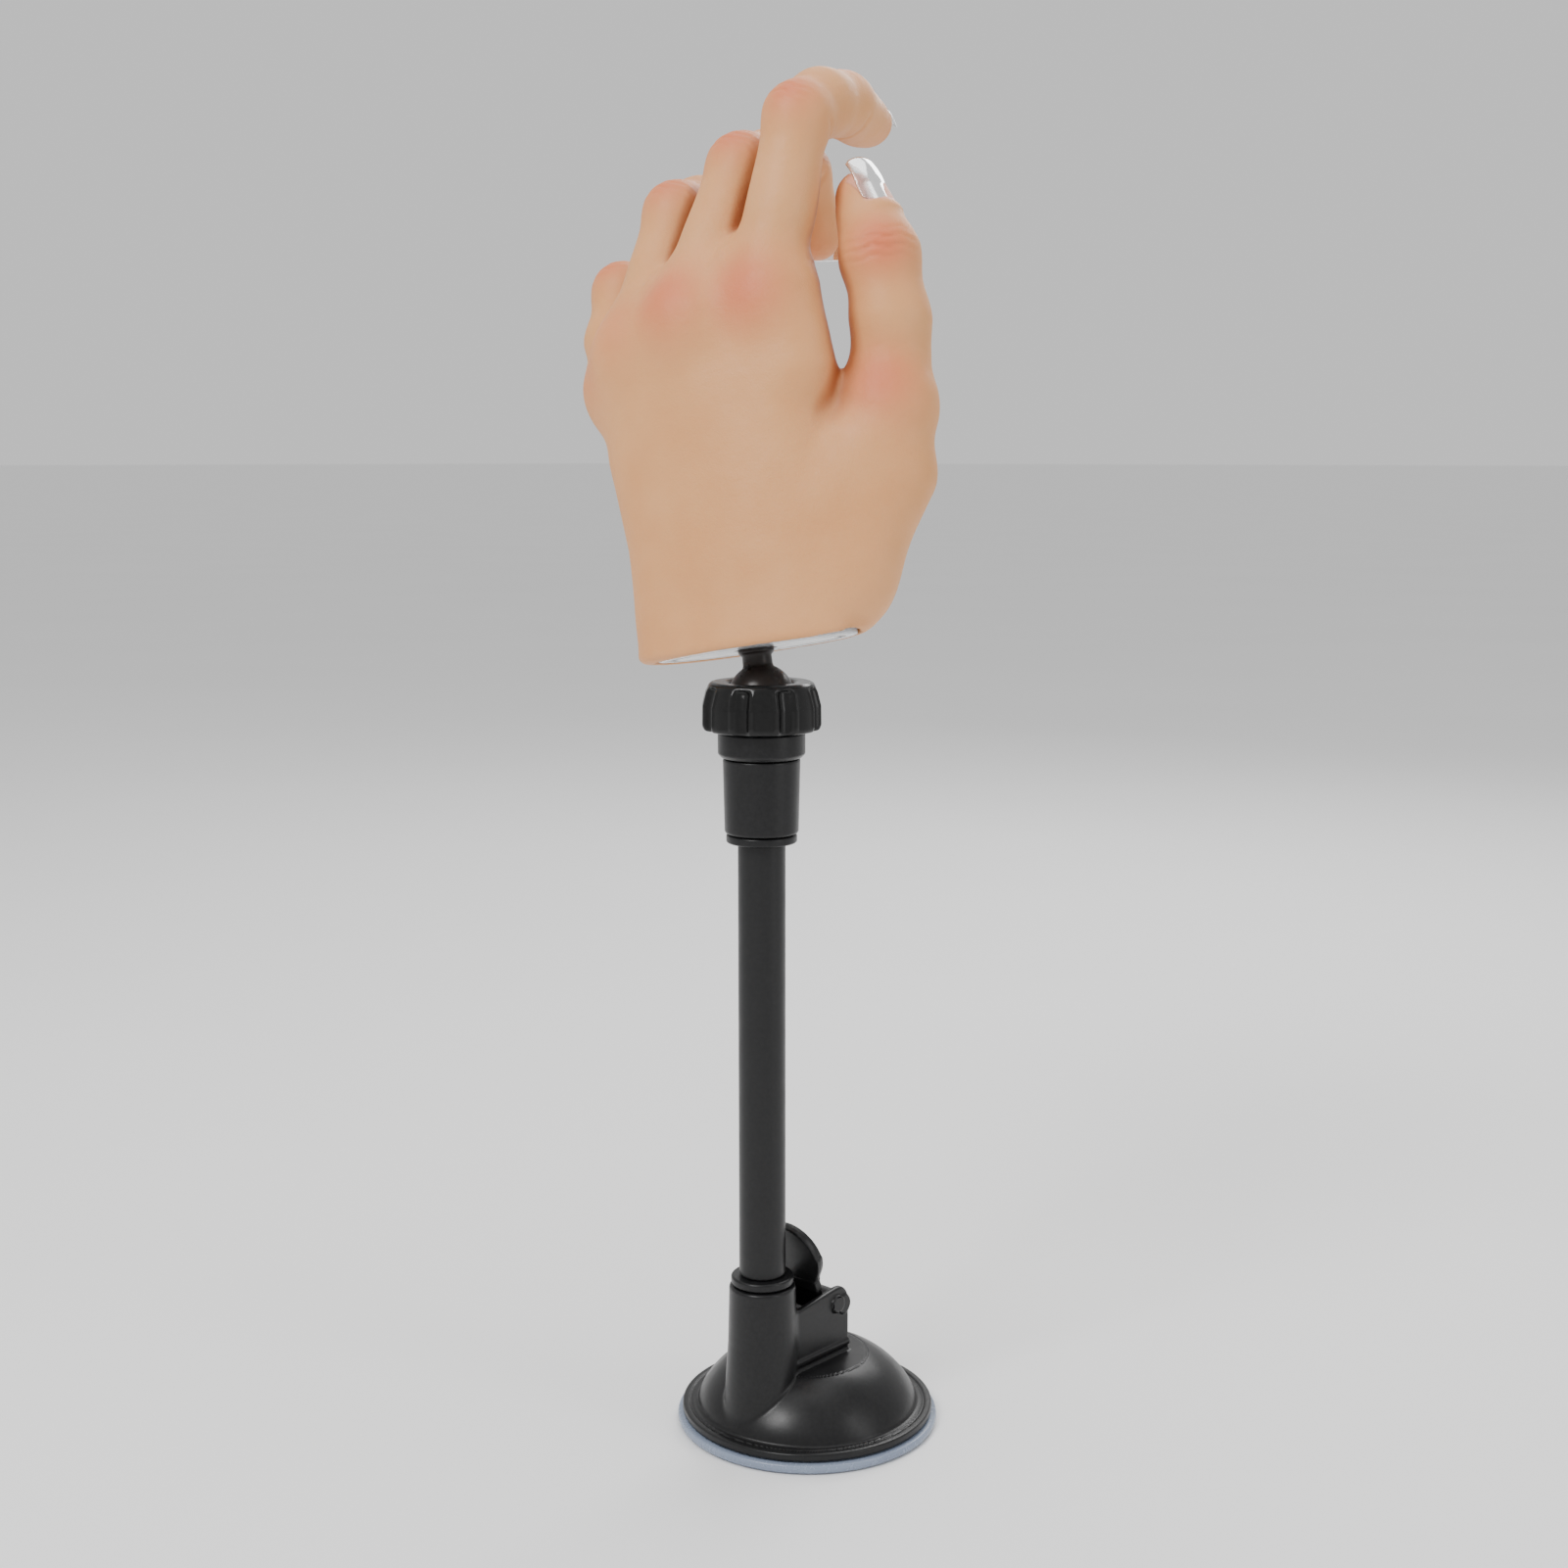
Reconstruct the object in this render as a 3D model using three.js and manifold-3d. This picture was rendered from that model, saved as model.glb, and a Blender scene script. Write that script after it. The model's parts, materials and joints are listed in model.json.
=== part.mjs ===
// A poseable silicone practice hand on a bendable arm with a lever-locked suction foot.
// Units are millimetres and +Z is up. The origin is the centre of the gel pad's underside. The
// stand is symmetric about the XZ plane, with its tower on the -X side and its lever on the +X side.
import * as THREE from "three";
import { mergeVertices } from "three/addons/utils/BufferGeometryUtils.js";
import { ConvexGeometry } from "three/addons/geometries/ConvexGeometry.js";
import Module from "manifold-3d";

const wasm = await Module();
wasm.setup();

// ---------------------------------------------------------------- driving dimensions

const GAP = 0.3;

// suction foot
const PAD_R = 35.2;
const PAD_H = 2.2;
const FLANGE_R = 33.8;
const FLANGE_Z = [2.5, 4.8];
const DOME_R = 29.7;
const PLATEAU_R = 16;
const PLATEAU_Z = 18;
const SHELL_WALL = 2.4;
const TOWER_X = -17.9;
const TOWER_FOOT_R = 9.6;
const TOWER_TOP_R = 8.75;
const TOWER_TOP_Z = 42.8;
const CHEEK_OUT = 7.5;
const CHEEK_IN = 5.5;
const CHEEK_END_X = 8.6;
const CHEEK_TOP_Z = 37;

// lever, its pin, and the plunger that it lifts
const LEVER_PIVOT = { x: 3.5, z: 32.4 };
const LEVER_PIN_R = 1.6;
const LEVER_LENGTH = 28;
const LEVER_LEAN = 22;
const LEVER_HALF_WIDTH = 9;
const LEVER_PLATE = 1.5;
const LEVER_HUB_R = 3.6;
const LEVER_RIBS_Z = [12, 15, 18, 21];
const PIVOT_BOSS_R = 3;
const PLUNGER_R = 3;
const PLUNGER_TOP_Z = 25.4;
const PLUNGER_FOOT = { r: 12, top: 4.8 };
const SPRING = { wire: 0.6, r: 5.2, turns: 3.5 };

// bendable arm
const ARM_R = 6.1;
const ARM_CORE_R = 4;
const ARM_BORE_R = 4.3;
const ARM_START_Z = 45.7;
const ARM_JOINTS_Z = [64, 87, 110, 133];
const ARM_END_Z = 160.6;
const ARM_BEND = 30;

// head and ball clamp
const RING_Z = [160.9, 163];
const RING_R = 9.05;
const SLEEVE_Z = [163.3, 182.4];
const SLEEVE_R = [9.44, 9.84];
const BAND_Z = [182.7, 189.4];
const BAND_R = 11.1;
const BAND_WALL = 2.4;
const NUT_Z = [189.7, 202];
const NUT_R = [15.1, 13.25];
const NUT_LOBES = 8;
const BALL_Z = 198;
const BALL_R = 8.5;
const STUD_NECK_R = 3.8;
const STUD_SHOULDER_R = 4.6;
const STUD_SCREW = { r: 2.6, reach: 10 };
const LINER = { bore: 3, r: 9.4, bottom: 191, height: 4.6 };
const THREAD_R = 11.2;
const NECK_TOP_Z = 190.6;

// how the hand stands on the ball: its lean from vertical, the side that it leans to, and the way
// that its back faces, as angles about +Z from +X
const HAND_LEAN = 11.2;
const HAND_LEAN_TO = 78;
const HAND_RADIAL_TO = -77.3;
const STUD_LENGTH = 13.6;

// wrist and palm; the hand's own frame has x to the thumb side, y out of the palm, z to the fingers
const WRIST = { a: 31, b: 16.5 };
const MID_PALM = { a: 32.5, b: 15, x: 1, z: 38 };
const PLATE = { a: 28.4, b: 13.9, h: 3 };

// A finger is its knuckle, how far it leans to the thumb side, how it rolls about its own length,
// its bends at rest and their limits from straight, its bone lengths, and its radii from the
// knuckle to the tip.
const FINGERS = [
  {
    name: "index", knuckle: [14.5, -2.5, 84.3], turn: 0, lean: 17, roll: 2,
    bend: [4, 70, 19], limits: [[-15, 15], [0, 92], [0, 55]],
    bones: [47, 25, 16], radii: [9.2, 9.2, 8, 6.6], nail: [12, 4],
  },
  {
    name: "middle", knuckle: [-4.7, -6.9, 83], turn: 0, lean: 12, roll: -6,
    bend: [22, 60, 71], limits: [[-12, 55], [0, 92], [0, 74]],
    bones: [45, 28, 19], radii: [8.8, 9.2, 8.2, 6.8], nail: [12.5, 3],
  },
  {
    name: "ring", knuckle: [-21.8, -4.4, 79.5], turn: 0, lean: 7.5, roll: -2,
    bend: [23, 58, 45], limits: [[-12, 50], [0, 90], [0, 60]],
    bones: [41, 26, 18], radii: [8.2, 8.6, 7.7, 6.4], nail: [11.5, 3],
  },
  {
    name: "little", knuckle: [-33.8, 3.5, 72], turn: 0, lean: -9, roll: 3,
    bend: [25, 57, 35], limits: [[-10, 44], [0, 84], [0, 50]],
    bones: [33, 20, 16], radii: [7.4, 7.5, 6.7, 5.7], nail: [9.5, 3],
  },
  {
    name: "thumb", knuckle: [40.5, 12.2, 58.3], turn: 27, lean: 1, roll: 0,
    bend: [-2, 17], limits: [[-20, 20], [0, 55]],
    bones: [33, 16.5], radii: [10.8, 9.6, 8], nail: [14.5, 4.5],
  },
];

// skeleton: bar and fork sizes
const BAR_HALF_THICK = 1.3;
const BAR_HALF_DEEP = 2.3;
const EYE_R = 3.4;
const FORK_IN = 1.7;
const FORK_OUT = 3.1;
const FORK_REACH = 7;
const BONE_PIN_R = 1.3;
const FRAME_HUB_R = 6.5;
const FRAME_HUB_TOP_Z = 17;
const FRAME_RIB_R = 2.2;

// how much wider than half its bend the skin is cut back at a joint, in degrees
const CREASE = 2.5;

// ---------------------------------------------------------------- materials

function material(color, roughness, metalness = 0, opacity = 1) {
  return new THREE.MeshStandardMaterial({
    color, roughness, metalness, opacity, transparent: opacity < 1,
  });
}

const LOOKS = {
  skin: () => material(0xdcb193, 0.55),
  black: () => material(0x1d1d1f, 0.45),
  sheath: () => material(0x222224, 0.5),
  gel: () => material(0x9aa7ad, 0.25, 0, 0.8),
  clear: () => material(0xe9eef0, 0.08, 0, 0.5),
  bone: () => material(0xd8d8d4, 0.5),
  steel: () => material(0xb9bcc0, 0.3, 1),
};

// ---------------------------------------------------------------- solids

const radians = THREE.MathUtils.degToRad;
const sin = (degrees) => Math.sin(radians(degrees));
const cos = (degrees) => Math.cos(radians(degrees));
const tan = (degrees) => Math.tan(radians(degrees));

// turns a closed geometry into a solid with its faces pointing out
function solidOf(geometry) {
  const bare = new THREE.BufferGeometry();
  bare.setAttribute("position", geometry.getAttribute("position").clone());
  if (geometry.index) {
    bare.setIndex(geometry.index.clone());
  }
  const merged = mergeVertices(bare, 1e-4);
  const points = merged.getAttribute("position").array;
  const index = merged.index.array;
  const faces = [];
  let volume = 0;
  const [a, b, c] = [new THREE.Vector3(), new THREE.Vector3(), new THREE.Vector3()];
  for (let i = 0; i < index.length; i += 3) {
    const [p, q, r] = [index[i], index[i + 1], index[i + 2]];
    if (p === q || q === r || r === p) {
      continue;
    }
    faces.push(p, q, r);
    a.fromArray(points, 3 * p);
    b.fromArray(points, 3 * q);
    c.fromArray(points, 3 * r);
    volume += a.dot(b.cross(c));
  }
  if (volume < 0) {
    faces.reverse();
  }
  return new wasm.Manifold(new wasm.Mesh({
    numProp: 3,
    vertProperties: new Float32Array(points),
    triVerts: new Uint32Array(faces),
  }));
}

function geometryOf(solid) {
  const mesh = solid.getMesh();
  const geometry = new THREE.BufferGeometry();
  geometry.setAttribute("position", new THREE.BufferAttribute(mesh.vertProperties.slice(), 3));
  geometry.setIndex(new THREE.BufferAttribute(mesh.triVerts.slice(), 1));
  geometry.computeVertexNormals();
  return geometry;
}

const join = (...solids) => solids.flat().reduce((all, next) => all.add(next));
const cut = (solid, ...tools) => tools.flat().reduce((left, tool) => left.subtract(tool), solid);

// a solid of revolution about +Z from its [radius, z] outline
function turned(outline, sides = 24) {
  const points = outline.map(([r, z]) => new THREE.Vector2(r, z));
  return solidOf(new THREE.LatheGeometry(points, sides).rotateX(Math.PI / 2));
}

function disc(r, z0, z1, sides = 16) {
  return turned([[0, z0], [r, z0], [r, z1], [0, z1]], sides);
}

function ring(rIn, rOut, z0, z1, sides = 24) {
  return turned([[rIn, z0], [rOut, z0], [rOut, z1], [rIn, z1], [rIn, z0]], sides);
}

// points of an arc from one angle to another, in degrees from the radius direction
function arc(r, from, to, steps, z = 0) {
  const points = [];
  for (let i = 0; i <= steps; i += 1) {
    const angle = from + ((to - from) * i) / steps;
    points.push([r * cos(angle), z + r * sin(angle)]);
  }
  return points;
}

function ball(r, centre = [0, 0, 0], sides = 12) {
  const geometry = new THREE.SphereGeometry(r, sides, Math.round(sides * 0.6));
  return solidOf(geometry.rotateX(Math.PI / 2).translate(...centre));
}

// a ball whose flats, not its corners, keep the radius clear
function clearBall(r, centre = [0, 0, 0], sides = 12) {
  return ball(r / (cos(180 / sides) * cos(90 / Math.round(sides * 0.6))), centre, sides);
}

function box(x0, x1, y0, y1, z0, z1) {
  const geometry = new THREE.BoxGeometry(x1 - x0, y1 - y0, z1 - z0);
  return solidOf(geometry.translate((x0 + x1) / 2, (y0 + y1) / 2, (z0 + z1) / 2));
}

// a flat outline in y and z, extruded along x between two planes
function slab(outline, x0, x1) {
  const shape = new THREE.Shape(outline.map(([y, z]) => new THREE.Vector2(y, z)));
  const geometry = new THREE.ExtrudeGeometry(shape, { depth: x1 - x0, bevelEnabled: false });
  const axes = new THREE.Matrix4().makeBasis(
    new THREE.Vector3(0, 1, 0), new THREE.Vector3(0, 0, 1), new THREE.Vector3(1, 0, 0),
  );
  return solidOf(geometry.applyMatrix4(axes).translate(x0, 0, 0));
}

// a cylinder along x
function crossPin(r, x0, x1, sides = 8) {
  const outline = [];
  for (let i = 0; i < sides; i += 1) {
    outline.push([r * cos((360 * i) / sides), r * sin((360 * i) / sides)]);
  }
  return slab(outline, x0, x1);
}

function hull(points) {
  return solidOf(new ConvexGeometry(points));
}

function ballPoints(centre, r, sides = 10) {
  const geometry = new THREE.SphereGeometry(r, sides, sides / 2).translate(...centre);
  const position = geometry.getAttribute("position");
  return Array.from({ length: position.count }, (_, i) => (
    new THREE.Vector3().fromBufferAttribute(position, i)));
}

function ellipsePoints(a, b, x, z, sides = 20) {
  return Array.from({ length: sides }, (_, i) => (
    new THREE.Vector3(x + a * cos((360 * i) / sides), b * sin((360 * i) / sides), z)));
}

function ellipseDisc(a, b, z0, z1, sides = 20) {
  return hull([...ellipsePoints(a, b, 0, z0, sides), ...ellipsePoints(a, b, 0, z1, sides)]);
}

function moved(solid, matrix) {
  return solid.transform(matrix.elements);
}

function add(parent, name, solid, look) {
  const mesh = new THREE.Mesh(geometryOf(solid), look());
  mesh.name = name;
  parent.add(mesh);
  return mesh;
}

// ---------------------------------------------------------------- suction foot

function gelPad() {
  return turned([
    [0, 0], [PAD_R - 1, 0], [PAD_R, 0.6], [PAD_R, PAD_H - 0.5], [PAD_R - 0.6, PAD_H], [0, PAD_H],
  ], 36);
}

// the dome's outer outline, from the flange's edge up to the plateau
function domeOutline(inset) {
  const steps = 4;
  const points = [];
  for (let i = 0; i <= steps; i += 1) {
    const angle = (90 * i) / steps;
    const r = PLATEAU_R + (DOME_R - PLATEAU_R) * cos(angle);
    const z = FLANGE_Z[1] + (PLATEAU_Z - FLANGE_Z[1]) * sin(angle);
    points.push([r - inset, z - inset]);
  }
  return points;
}

function cheek(side) {
  const corner = CHEEK_END_X - 3.5;
  const outline = [[TOWER_X + 6, PLATEAU_Z - 1.5], [CHEEK_END_X, PLATEAU_Z - 1.5]];
  for (let i = 0; i <= 5; i += 1) {
    outline.push([corner + 3.5 * cos(18 * i), CHEEK_TOP_Z - 3.5 + 3.5 * sin(18 * i)]);
  }
  outline.push([TOWER_X + 6, CHEEK_TOP_Z]);
  const shape = new THREE.Shape(outline.map(([x, z]) => new THREE.Vector2(x, z)));
  const depth = CHEEK_OUT - CHEEK_IN;
  const geometry = new THREE.ExtrudeGeometry(shape, { depth, bevelEnabled: false });
  geometry.rotateX(Math.PI / 2).translate(0, side > 0 ? CHEEK_OUT : -CHEEK_IN, 0);
  return solidOf(geometry);
}

// a hole or boss along y through the cheeks at the lever's pivot
function pivotRod(r, y0, y1) {
  const geometry = new THREE.CylinderGeometry(r, r, y1 - y0, 12);
  return solidOf(geometry.translate(LEVER_PIVOT.x, (y0 + y1) / 2, LEVER_PIVOT.z));
}

function baseHousing() {
  const outside = turned([
    [0, FLANGE_Z[0]], [FLANGE_R, FLANGE_Z[0]], [FLANGE_R + 0.2, 3.1], [FLANGE_R, FLANGE_Z[1] - 0.3],
    [FLANGE_R - 0.6, FLANGE_Z[1]], ...domeOutline(0), [0, PLATEAU_Z],
  ], 36);
  const inside = turned([
    [0, 0], [DOME_R - SHELL_WALL, 0], ...domeOutline(SHELL_WALL), [0, PLATEAU_Z - SHELL_WALL],
  ], 24);
  const tower = turned([
    [0, 6], [TOWER_FOOT_R, 6], [TOWER_TOP_R, TOWER_TOP_Z - 0.8], [TOWER_TOP_R - 0.6, TOWER_TOP_Z],
    [0, TOWER_TOP_Z],
  ]).translate([TOWER_X, 0, 0]);
  const socket = disc(ARM_BORE_R, 10, TOWER_TOP_Z + 1, 24).translate([TOWER_X, 0, 0]);
  const bosses = [[CHEEK_OUT - 0.5, CHEEK_OUT + 0.8], [-CHEEK_OUT - 0.8, 0.5 - CHEEK_OUT]];
  return cut(
    join(
      cut(outside, inside, disc(PLUNGER_R + GAP, 0, PLATEAU_Z + 2, 20)),
      cut(tower, disc(DOME_R, 0, PLATEAU_Z - SHELL_WALL - 4, 24)),
      cheek(1), cheek(-1), bosses.map(([y0, y1]) => pivotRod(PIVOT_BOSS_R, y0, y1)),
    ),
    socket,
    pivotRod(LEVER_PIN_R + GAP, -CHEEK_OUT - 2, CHEEK_OUT + 2),
  );
}

function leverPin() {
  return join(
    pivotRod(LEVER_PIN_R, -CHEEK_OUT - 0.6, CHEEK_OUT + 0.6),
    pivotRod(2.3, CHEEK_OUT + 1.1, CHEEK_OUT + 1.7).add(
      pivotRod(LEVER_PIN_R, CHEEK_OUT, CHEEK_OUT + 1.4)),
  );
}

// the lever in its own frame: the pivot at the origin, the paddle up along +z, its outer side to -x
function lever() {
  const halfHub = CHEEK_IN - GAP;
  const outline = [];
  for (let i = 0; i <= 10; i += 1) {
    const angle = -10 + (200 * i) / 10;
    outline.push([LEVER_HALF_WIDTH * cos(angle),
      LEVER_LENGTH - LEVER_HALF_WIDTH + LEVER_HALF_WIDTH * sin(angle)]);
  }
  outline.push([-halfHub, 6], [halfHub, 6]);
  const plate = slab(outline, -LEVER_HUB_R, -LEVER_HUB_R + LEVER_PLATE);
  const rim = cut(
    slab(outline, -2.6, -1),
    slab(outline.map(([y, z]) => [y * 0.84, z > 12 ? z - 1.4 : z - 1]), -2.2, 0),
  );
  const ribs = LEVER_RIBS_Z.map((z) => slab([
    [-5.4, z], [5.4, z], [5.4, z + 1], [-5.4, z + 1]], -2.6, -1.5));
  const hub = hull([
    ...[0, 1, 2, 3, 4, 5, 6, 7].flatMap((i) => [-halfHub, halfHub].map((y) => (
      new THREE.Vector3(LEVER_HUB_R * cos(45 * i), y, LEVER_HUB_R * sin(45 * i))))),
    ...[-halfHub, halfHub].flatMap((y) => [new THREE.Vector3(-LEVER_HUB_R, y, 9),
      new THREE.Vector3(-1.6, y, 9)]),
  ]);
  const hole = new THREE.CylinderGeometry(LEVER_PIN_R + GAP, LEVER_PIN_R + GAP, 20, 12);
  return cut(join(hub, plate, rim, ribs), solidOf(hole));
}

function plunger() {
  return turned([
    [0, PAD_H + GAP], [PLUNGER_FOOT.r, PAD_H + GAP], [PLUNGER_FOOT.r, PLUNGER_FOOT.top - 0.6],
    [PLUNGER_R, PLUNGER_FOOT.top],
    [PLUNGER_R, PLUNGER_TOP_Z - 0.6], [PLUNGER_R - 0.6, PLUNGER_TOP_Z], [0, PLUNGER_TOP_Z],
  ], 16);
}

// a wire wound round the plunger, between its foot and the shell's roof
class Coil extends THREE.Curve {
  constructor(r, z0, z1, turns) {
    super();
    Object.assign(this, { r, z0, z1, turns });
  }

  getPoint(t, target = new THREE.Vector3()) {
    const angle = 360 * this.turns * t;
    return target.set(this.r * cos(angle), this.r * sin(angle), this.z0 + (this.z1 - this.z0) * t);
  }
}

function releaseSpring() {
  const { wire, r, turns } = SPRING;
  const section = new THREE.Shape();
  for (let i = 0; i < 5; i += 1) {
    const [x, y] = [wire * cos(72 * i), wire * sin(72 * i)];
    if (i === 0) {
      section.moveTo(x, y);
    } else {
      section.lineTo(x, y);
    }
  }
  const bottom = PLUNGER_FOOT.top + 0.1 + wire + GAP;
  const path = new Coil(r, bottom, PLATEAU_Z - SHELL_WALL - wire - GAP, turns);
  return solidOf(new THREE.ExtrudeGeometry(section, {
    steps: 35, extrudePath: path, bevelEnabled: false,
  }));
}

// ---------------------------------------------------------------- bendable arm

// The sheath of an arm link between two joints. Its lower end is a socket that is relieved to let
// the link tip by the bend angle, and its upper end is a ball.
function armTube(rOut, rIn, z0, z1, socketBelow, ballAbove) {
  const relief = ARM_BEND / 2 + 1;
  const ballR = rOut - 0.5;
  const outline = [];
  if (socketBelow) {
    const r = ballR + GAP;
    outline.push(...arc(r, 90, relief + 2, 4, z0).filter(([x]) => x > rIn));
    outline.push([rOut, z0 + rOut * tan(relief) + GAP / 2]);
  } else {
    outline.push([rIn, z0], [rOut, z0]);
  }
  if (ballAbove) {
    outline.push([rOut, z1 - rOut * tan(relief) - GAP / 2]);
    outline.push(...arc(ballR - GAP / 2, -relief - 2, 90, 5, z1).filter(([x]) => x > rIn));
  } else {
    outline.push([rOut, z1], [rIn, z1]);
  }
  const [low, high] = [outline[0][1], outline[outline.length - 1][1]];
  outline[0] = [rIn, low];
  outline[outline.length - 1] = [rIn, high];
  outline.push([rIn, low]);
  return turned(outline, 16);
}

function armLinks(parent) {
  const stations = [ARM_START_Z, ...ARM_JOINTS_Z, ARM_END_Z];
  for (let i = 0; i + 1 < stations.length; i += 1) {
    const [z0, z1] = [stations[i], stations[i + 1]];
    const first = i === 0;
    const last = i === stations.length - 2;
    add(parent, `arm_sheath_${i}`,
      armTube(ARM_R, ARM_BORE_R, z0, z1, !first, !last), LOOKS.sheath);
    const coreLow = first ? 11 : z0;
    const coreHigh = last ? SLEEVE_Z[1] - 6 : z1;
    add(parent, `arm_core_${i}`, armCore(coreLow, coreHigh, !first, !last), LOOKS.steel);
  }
}

// the steel link inside: a cup and waist below, a thick middle, and a knob above
function armCore(z0, z1, socketBelow, ballAbove) {
  const knob = 2.2;
  const waist = 1.8;
  const outline = [];
  if (socketBelow) {
    outline.push([0, z0 + knob + GAP], ...arc(knob + GAP, 70, 30, 2, z0), [2.9, z0 + 1.5],
      [2.9, z0 + 2.2], [waist, z0 + 3.6], [waist, z0 + 7.5], [ARM_CORE_R, z0 + 9]);
  } else {
    outline.push([0, z0], [ARM_CORE_R, z0]);
  }
  if (ballAbove) {
    outline.push([ARM_CORE_R, z1 - 5], [1.2, z1 - 3], ...arc(knob, -50, 90, 3, z1));
  } else {
    outline.push([ARM_CORE_R, z1], [0, z1]);
  }
  return turned(outline, 10);
}

// ---------------------------------------------------------------- head and ball clamp

function headSleeve() {
  const [z0, z1] = SLEEVE_Z;
  const bore = ARM_BORE_R + GAP;
  const neck = BAND_R - BAND_WALL;
  return turned([
    [bore, z0], [SLEEVE_R[0], z0], [SLEEVE_R[1], z1], [neck, z1 + 0.01], [neck, NECK_TOP_Z - 0.4],
    [neck - 0.5, NECK_TOP_Z], [bore, NECK_TOP_Z], [bore, z0],
  ]);
}

function seatLiner() {
  const { bore, r, bottom, height } = LINER;
  return cut(
    ring(bore, r, bottom, bottom + height, 20),
    clearBall(BALL_R + GAP, [0, 0, BALL_Z], 20),
  );
}

// the sleeve inside the nut that its thread runs on
function threadRing() {
  return ring(LINER.r + GAP, THREAD_R, NUT_Z[0] + 0.4, NUT_Z[0] + 6.6, 20);
}

function lockNut() {
  const [z0, z1] = NUT_Z;
  const middle = (z0 + z1) / 2;
  const outside = turned([
    [0, z0], [NUT_R[0] - 0.8, z0], [NUT_R[0], z0 + 0.8], [NUT_R[0] - 0.1, middle - 1],
    [NUT_R[1] + 0.9, z1 - 3], [NUT_R[1], z1 - 0.8], [NUT_R[1] - 0.8, z1], [0, z1],
  ], 32);
  const grooves = Array.from({ length: NUT_LOBES }, (_, i) => {
    const angle = (360 * (i + 0.5)) / NUT_LOBES;
    const groove = turned([
      [0, z0 - 1], [2.1, z0 - 1], [2.1, z1 - 2.5], [1.4, z1 - 0.9], [0, z1 - 0.9]], 8);
    return groove.translate([(NUT_R[0] + 0.5) * cos(angle), (NUT_R[0] + 0.5) * sin(angle), 0]);
  });
  const inside = turned([
    [0, z0 - 1], [THREAD_R + GAP, z0 - 1], [THREAD_R + GAP, z0 + 7], [THREAD_R - 1, z0 + 7.4],
    [THREAD_R - 1, z0 + 8.6], [0, z0 + 8.6],
  ], 24);
  const mouth = turned([
    [0, z0 + 8], [9.2, z0 + 8], ...arc(BALL_R + 0.55, 6, 28, 2, BALL_Z), [7.9, z1 + 1], [0, z1 + 1],
  ], 24);
  return cut(outside, grooves, inside, mouth);
}

// the ball stud in its own frame: the ball's centre at the origin, the stud up along +z
function ballStud() {
  const shoulderZ = STUD_LENGTH - 2.6;
  const end = STUD_LENGTH + STUD_SCREW.reach;
  return turned([
    [0, -BALL_R], ...arc(BALL_R, -75, 62, 9), [STUD_NECK_R, 8.2], [STUD_NECK_R - 0.3, 9.6],
    [STUD_NECK_R, shoulderZ - 0.2], [STUD_SHOULDER_R, shoulderZ],
    [STUD_SHOULDER_R, STUD_LENGTH - GAP], [STUD_SCREW.r, STUD_LENGTH - GAP + 0.01],
    [STUD_SCREW.r, end], [0, end + 0.6],
  ], 20);
}

// ---------------------------------------------------------------- skeleton

// a flat bar in y and z with one round end at z = 0, reaching up to z1
function eyeBar(z1, grow = 0) {
  const r = EYE_R + grow;
  const outline = [];
  for (let i = 0; i <= 5; i += 1) {
    const angle = 20 - 44 * i;
    outline.push([r * cos(angle), r * sin(angle)]);
  }
  const half = BAR_HALF_DEEP + grow;
  outline.push([-half, EYE_R - 0.8], [-half, z1], [half, z1], [half, EYE_R - 0.8]);
  return slab(outline, -BAR_HALF_THICK - grow, BAR_HALF_THICK + grow);
}

// the fork at a bone's far end, with its pin, in a frame with the pivot at the origin
function fork(grow = 0) {
  const r = EYE_R + grow;
  const outline = [];
  for (let i = 0; i <= 5; i += 1) {
    const angle = -20 + 44 * i;
    outline.push([r * cos(angle), r * sin(angle)]);
  }
  const half = BAR_HALF_DEEP + grow;
  outline.push([-half, -FORK_REACH - grow], [half, -FORK_REACH - grow]);
  if (grow > 0) {
    return slab(outline, -FORK_OUT - grow, FORK_OUT + grow);
  }
  return join(
    slab(outline, -FORK_OUT, -FORK_IN),
    slab(outline, FORK_IN, FORK_OUT),
    box(-FORK_OUT, FORK_OUT, -half, half, -FORK_REACH, -EYE_R - 1),
    crossPin(BONE_PIN_R, -FORK_OUT, FORK_OUT),
  );
}

// the room that the next bone's eye and bar sweep, between two bends in degrees from +z to +y
function sweep(from, to, reach) {
  const spread = 43;
  const outline = [[0, 0]];
  const steps = 4;
  for (let i = 0; i <= steps; i += 1) {
    const angle = from - spread + ((to - from + 2 * spread) * i) / steps;
    outline.push([reach * sin(angle), reach * cos(angle)]);
  }
  return slab(outline.reverse(), -BAR_HALF_THICK - GAP, BAR_HALF_THICK + GAP);
}

// a finger bone with its eye at the origin, and a fork at its far end unless it is the last
function bone(length, last) {
  const far = last ? length - 1 : length - FORK_REACH + 0.5;
  const bar = cut(eyeBar(far), crossPin((BONE_PIN_R + GAP) / cos(22.5), -5, 5));
  if (last) {
    return bar;
  }
  return join(bar, fork().translate([0, 0, length]));
}

function boneRoom(length, last) {
  const far = last ? length - 1 + GAP : length - FORK_REACH + 0.5;
  const bar = eyeBar(far, GAP);
  if (last) {
    return bar;
  }
  return join(bar, fork(GAP).translate([0, 0, length]));
}

// ---------------------------------------------------------------- skin

// Removes what would meet the neighbour across a joint at the origin: a wedge on the palm side,
// half the joint's whole bend, and the half-space behind the joint on the other side. up is +1 when
// the kept part lies towards +z, -1 when it lies towards -z.
function jointRelief(bend, up) {
  const wedge = bend / 2 + CREASE;
  const big = 40;
  const outline = [
    [0, 0], [big, up * big * tan(wedge)], [big, -up * big], [-big, -up * big],
    [-big, up * GAP], [0, up * GAP],
  ];
  return slab(up > 0 ? outline.reverse() : outline, -big, big);
}

function knuckleBall(r) {
  return ball(r - GAP / 2);
}

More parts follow.
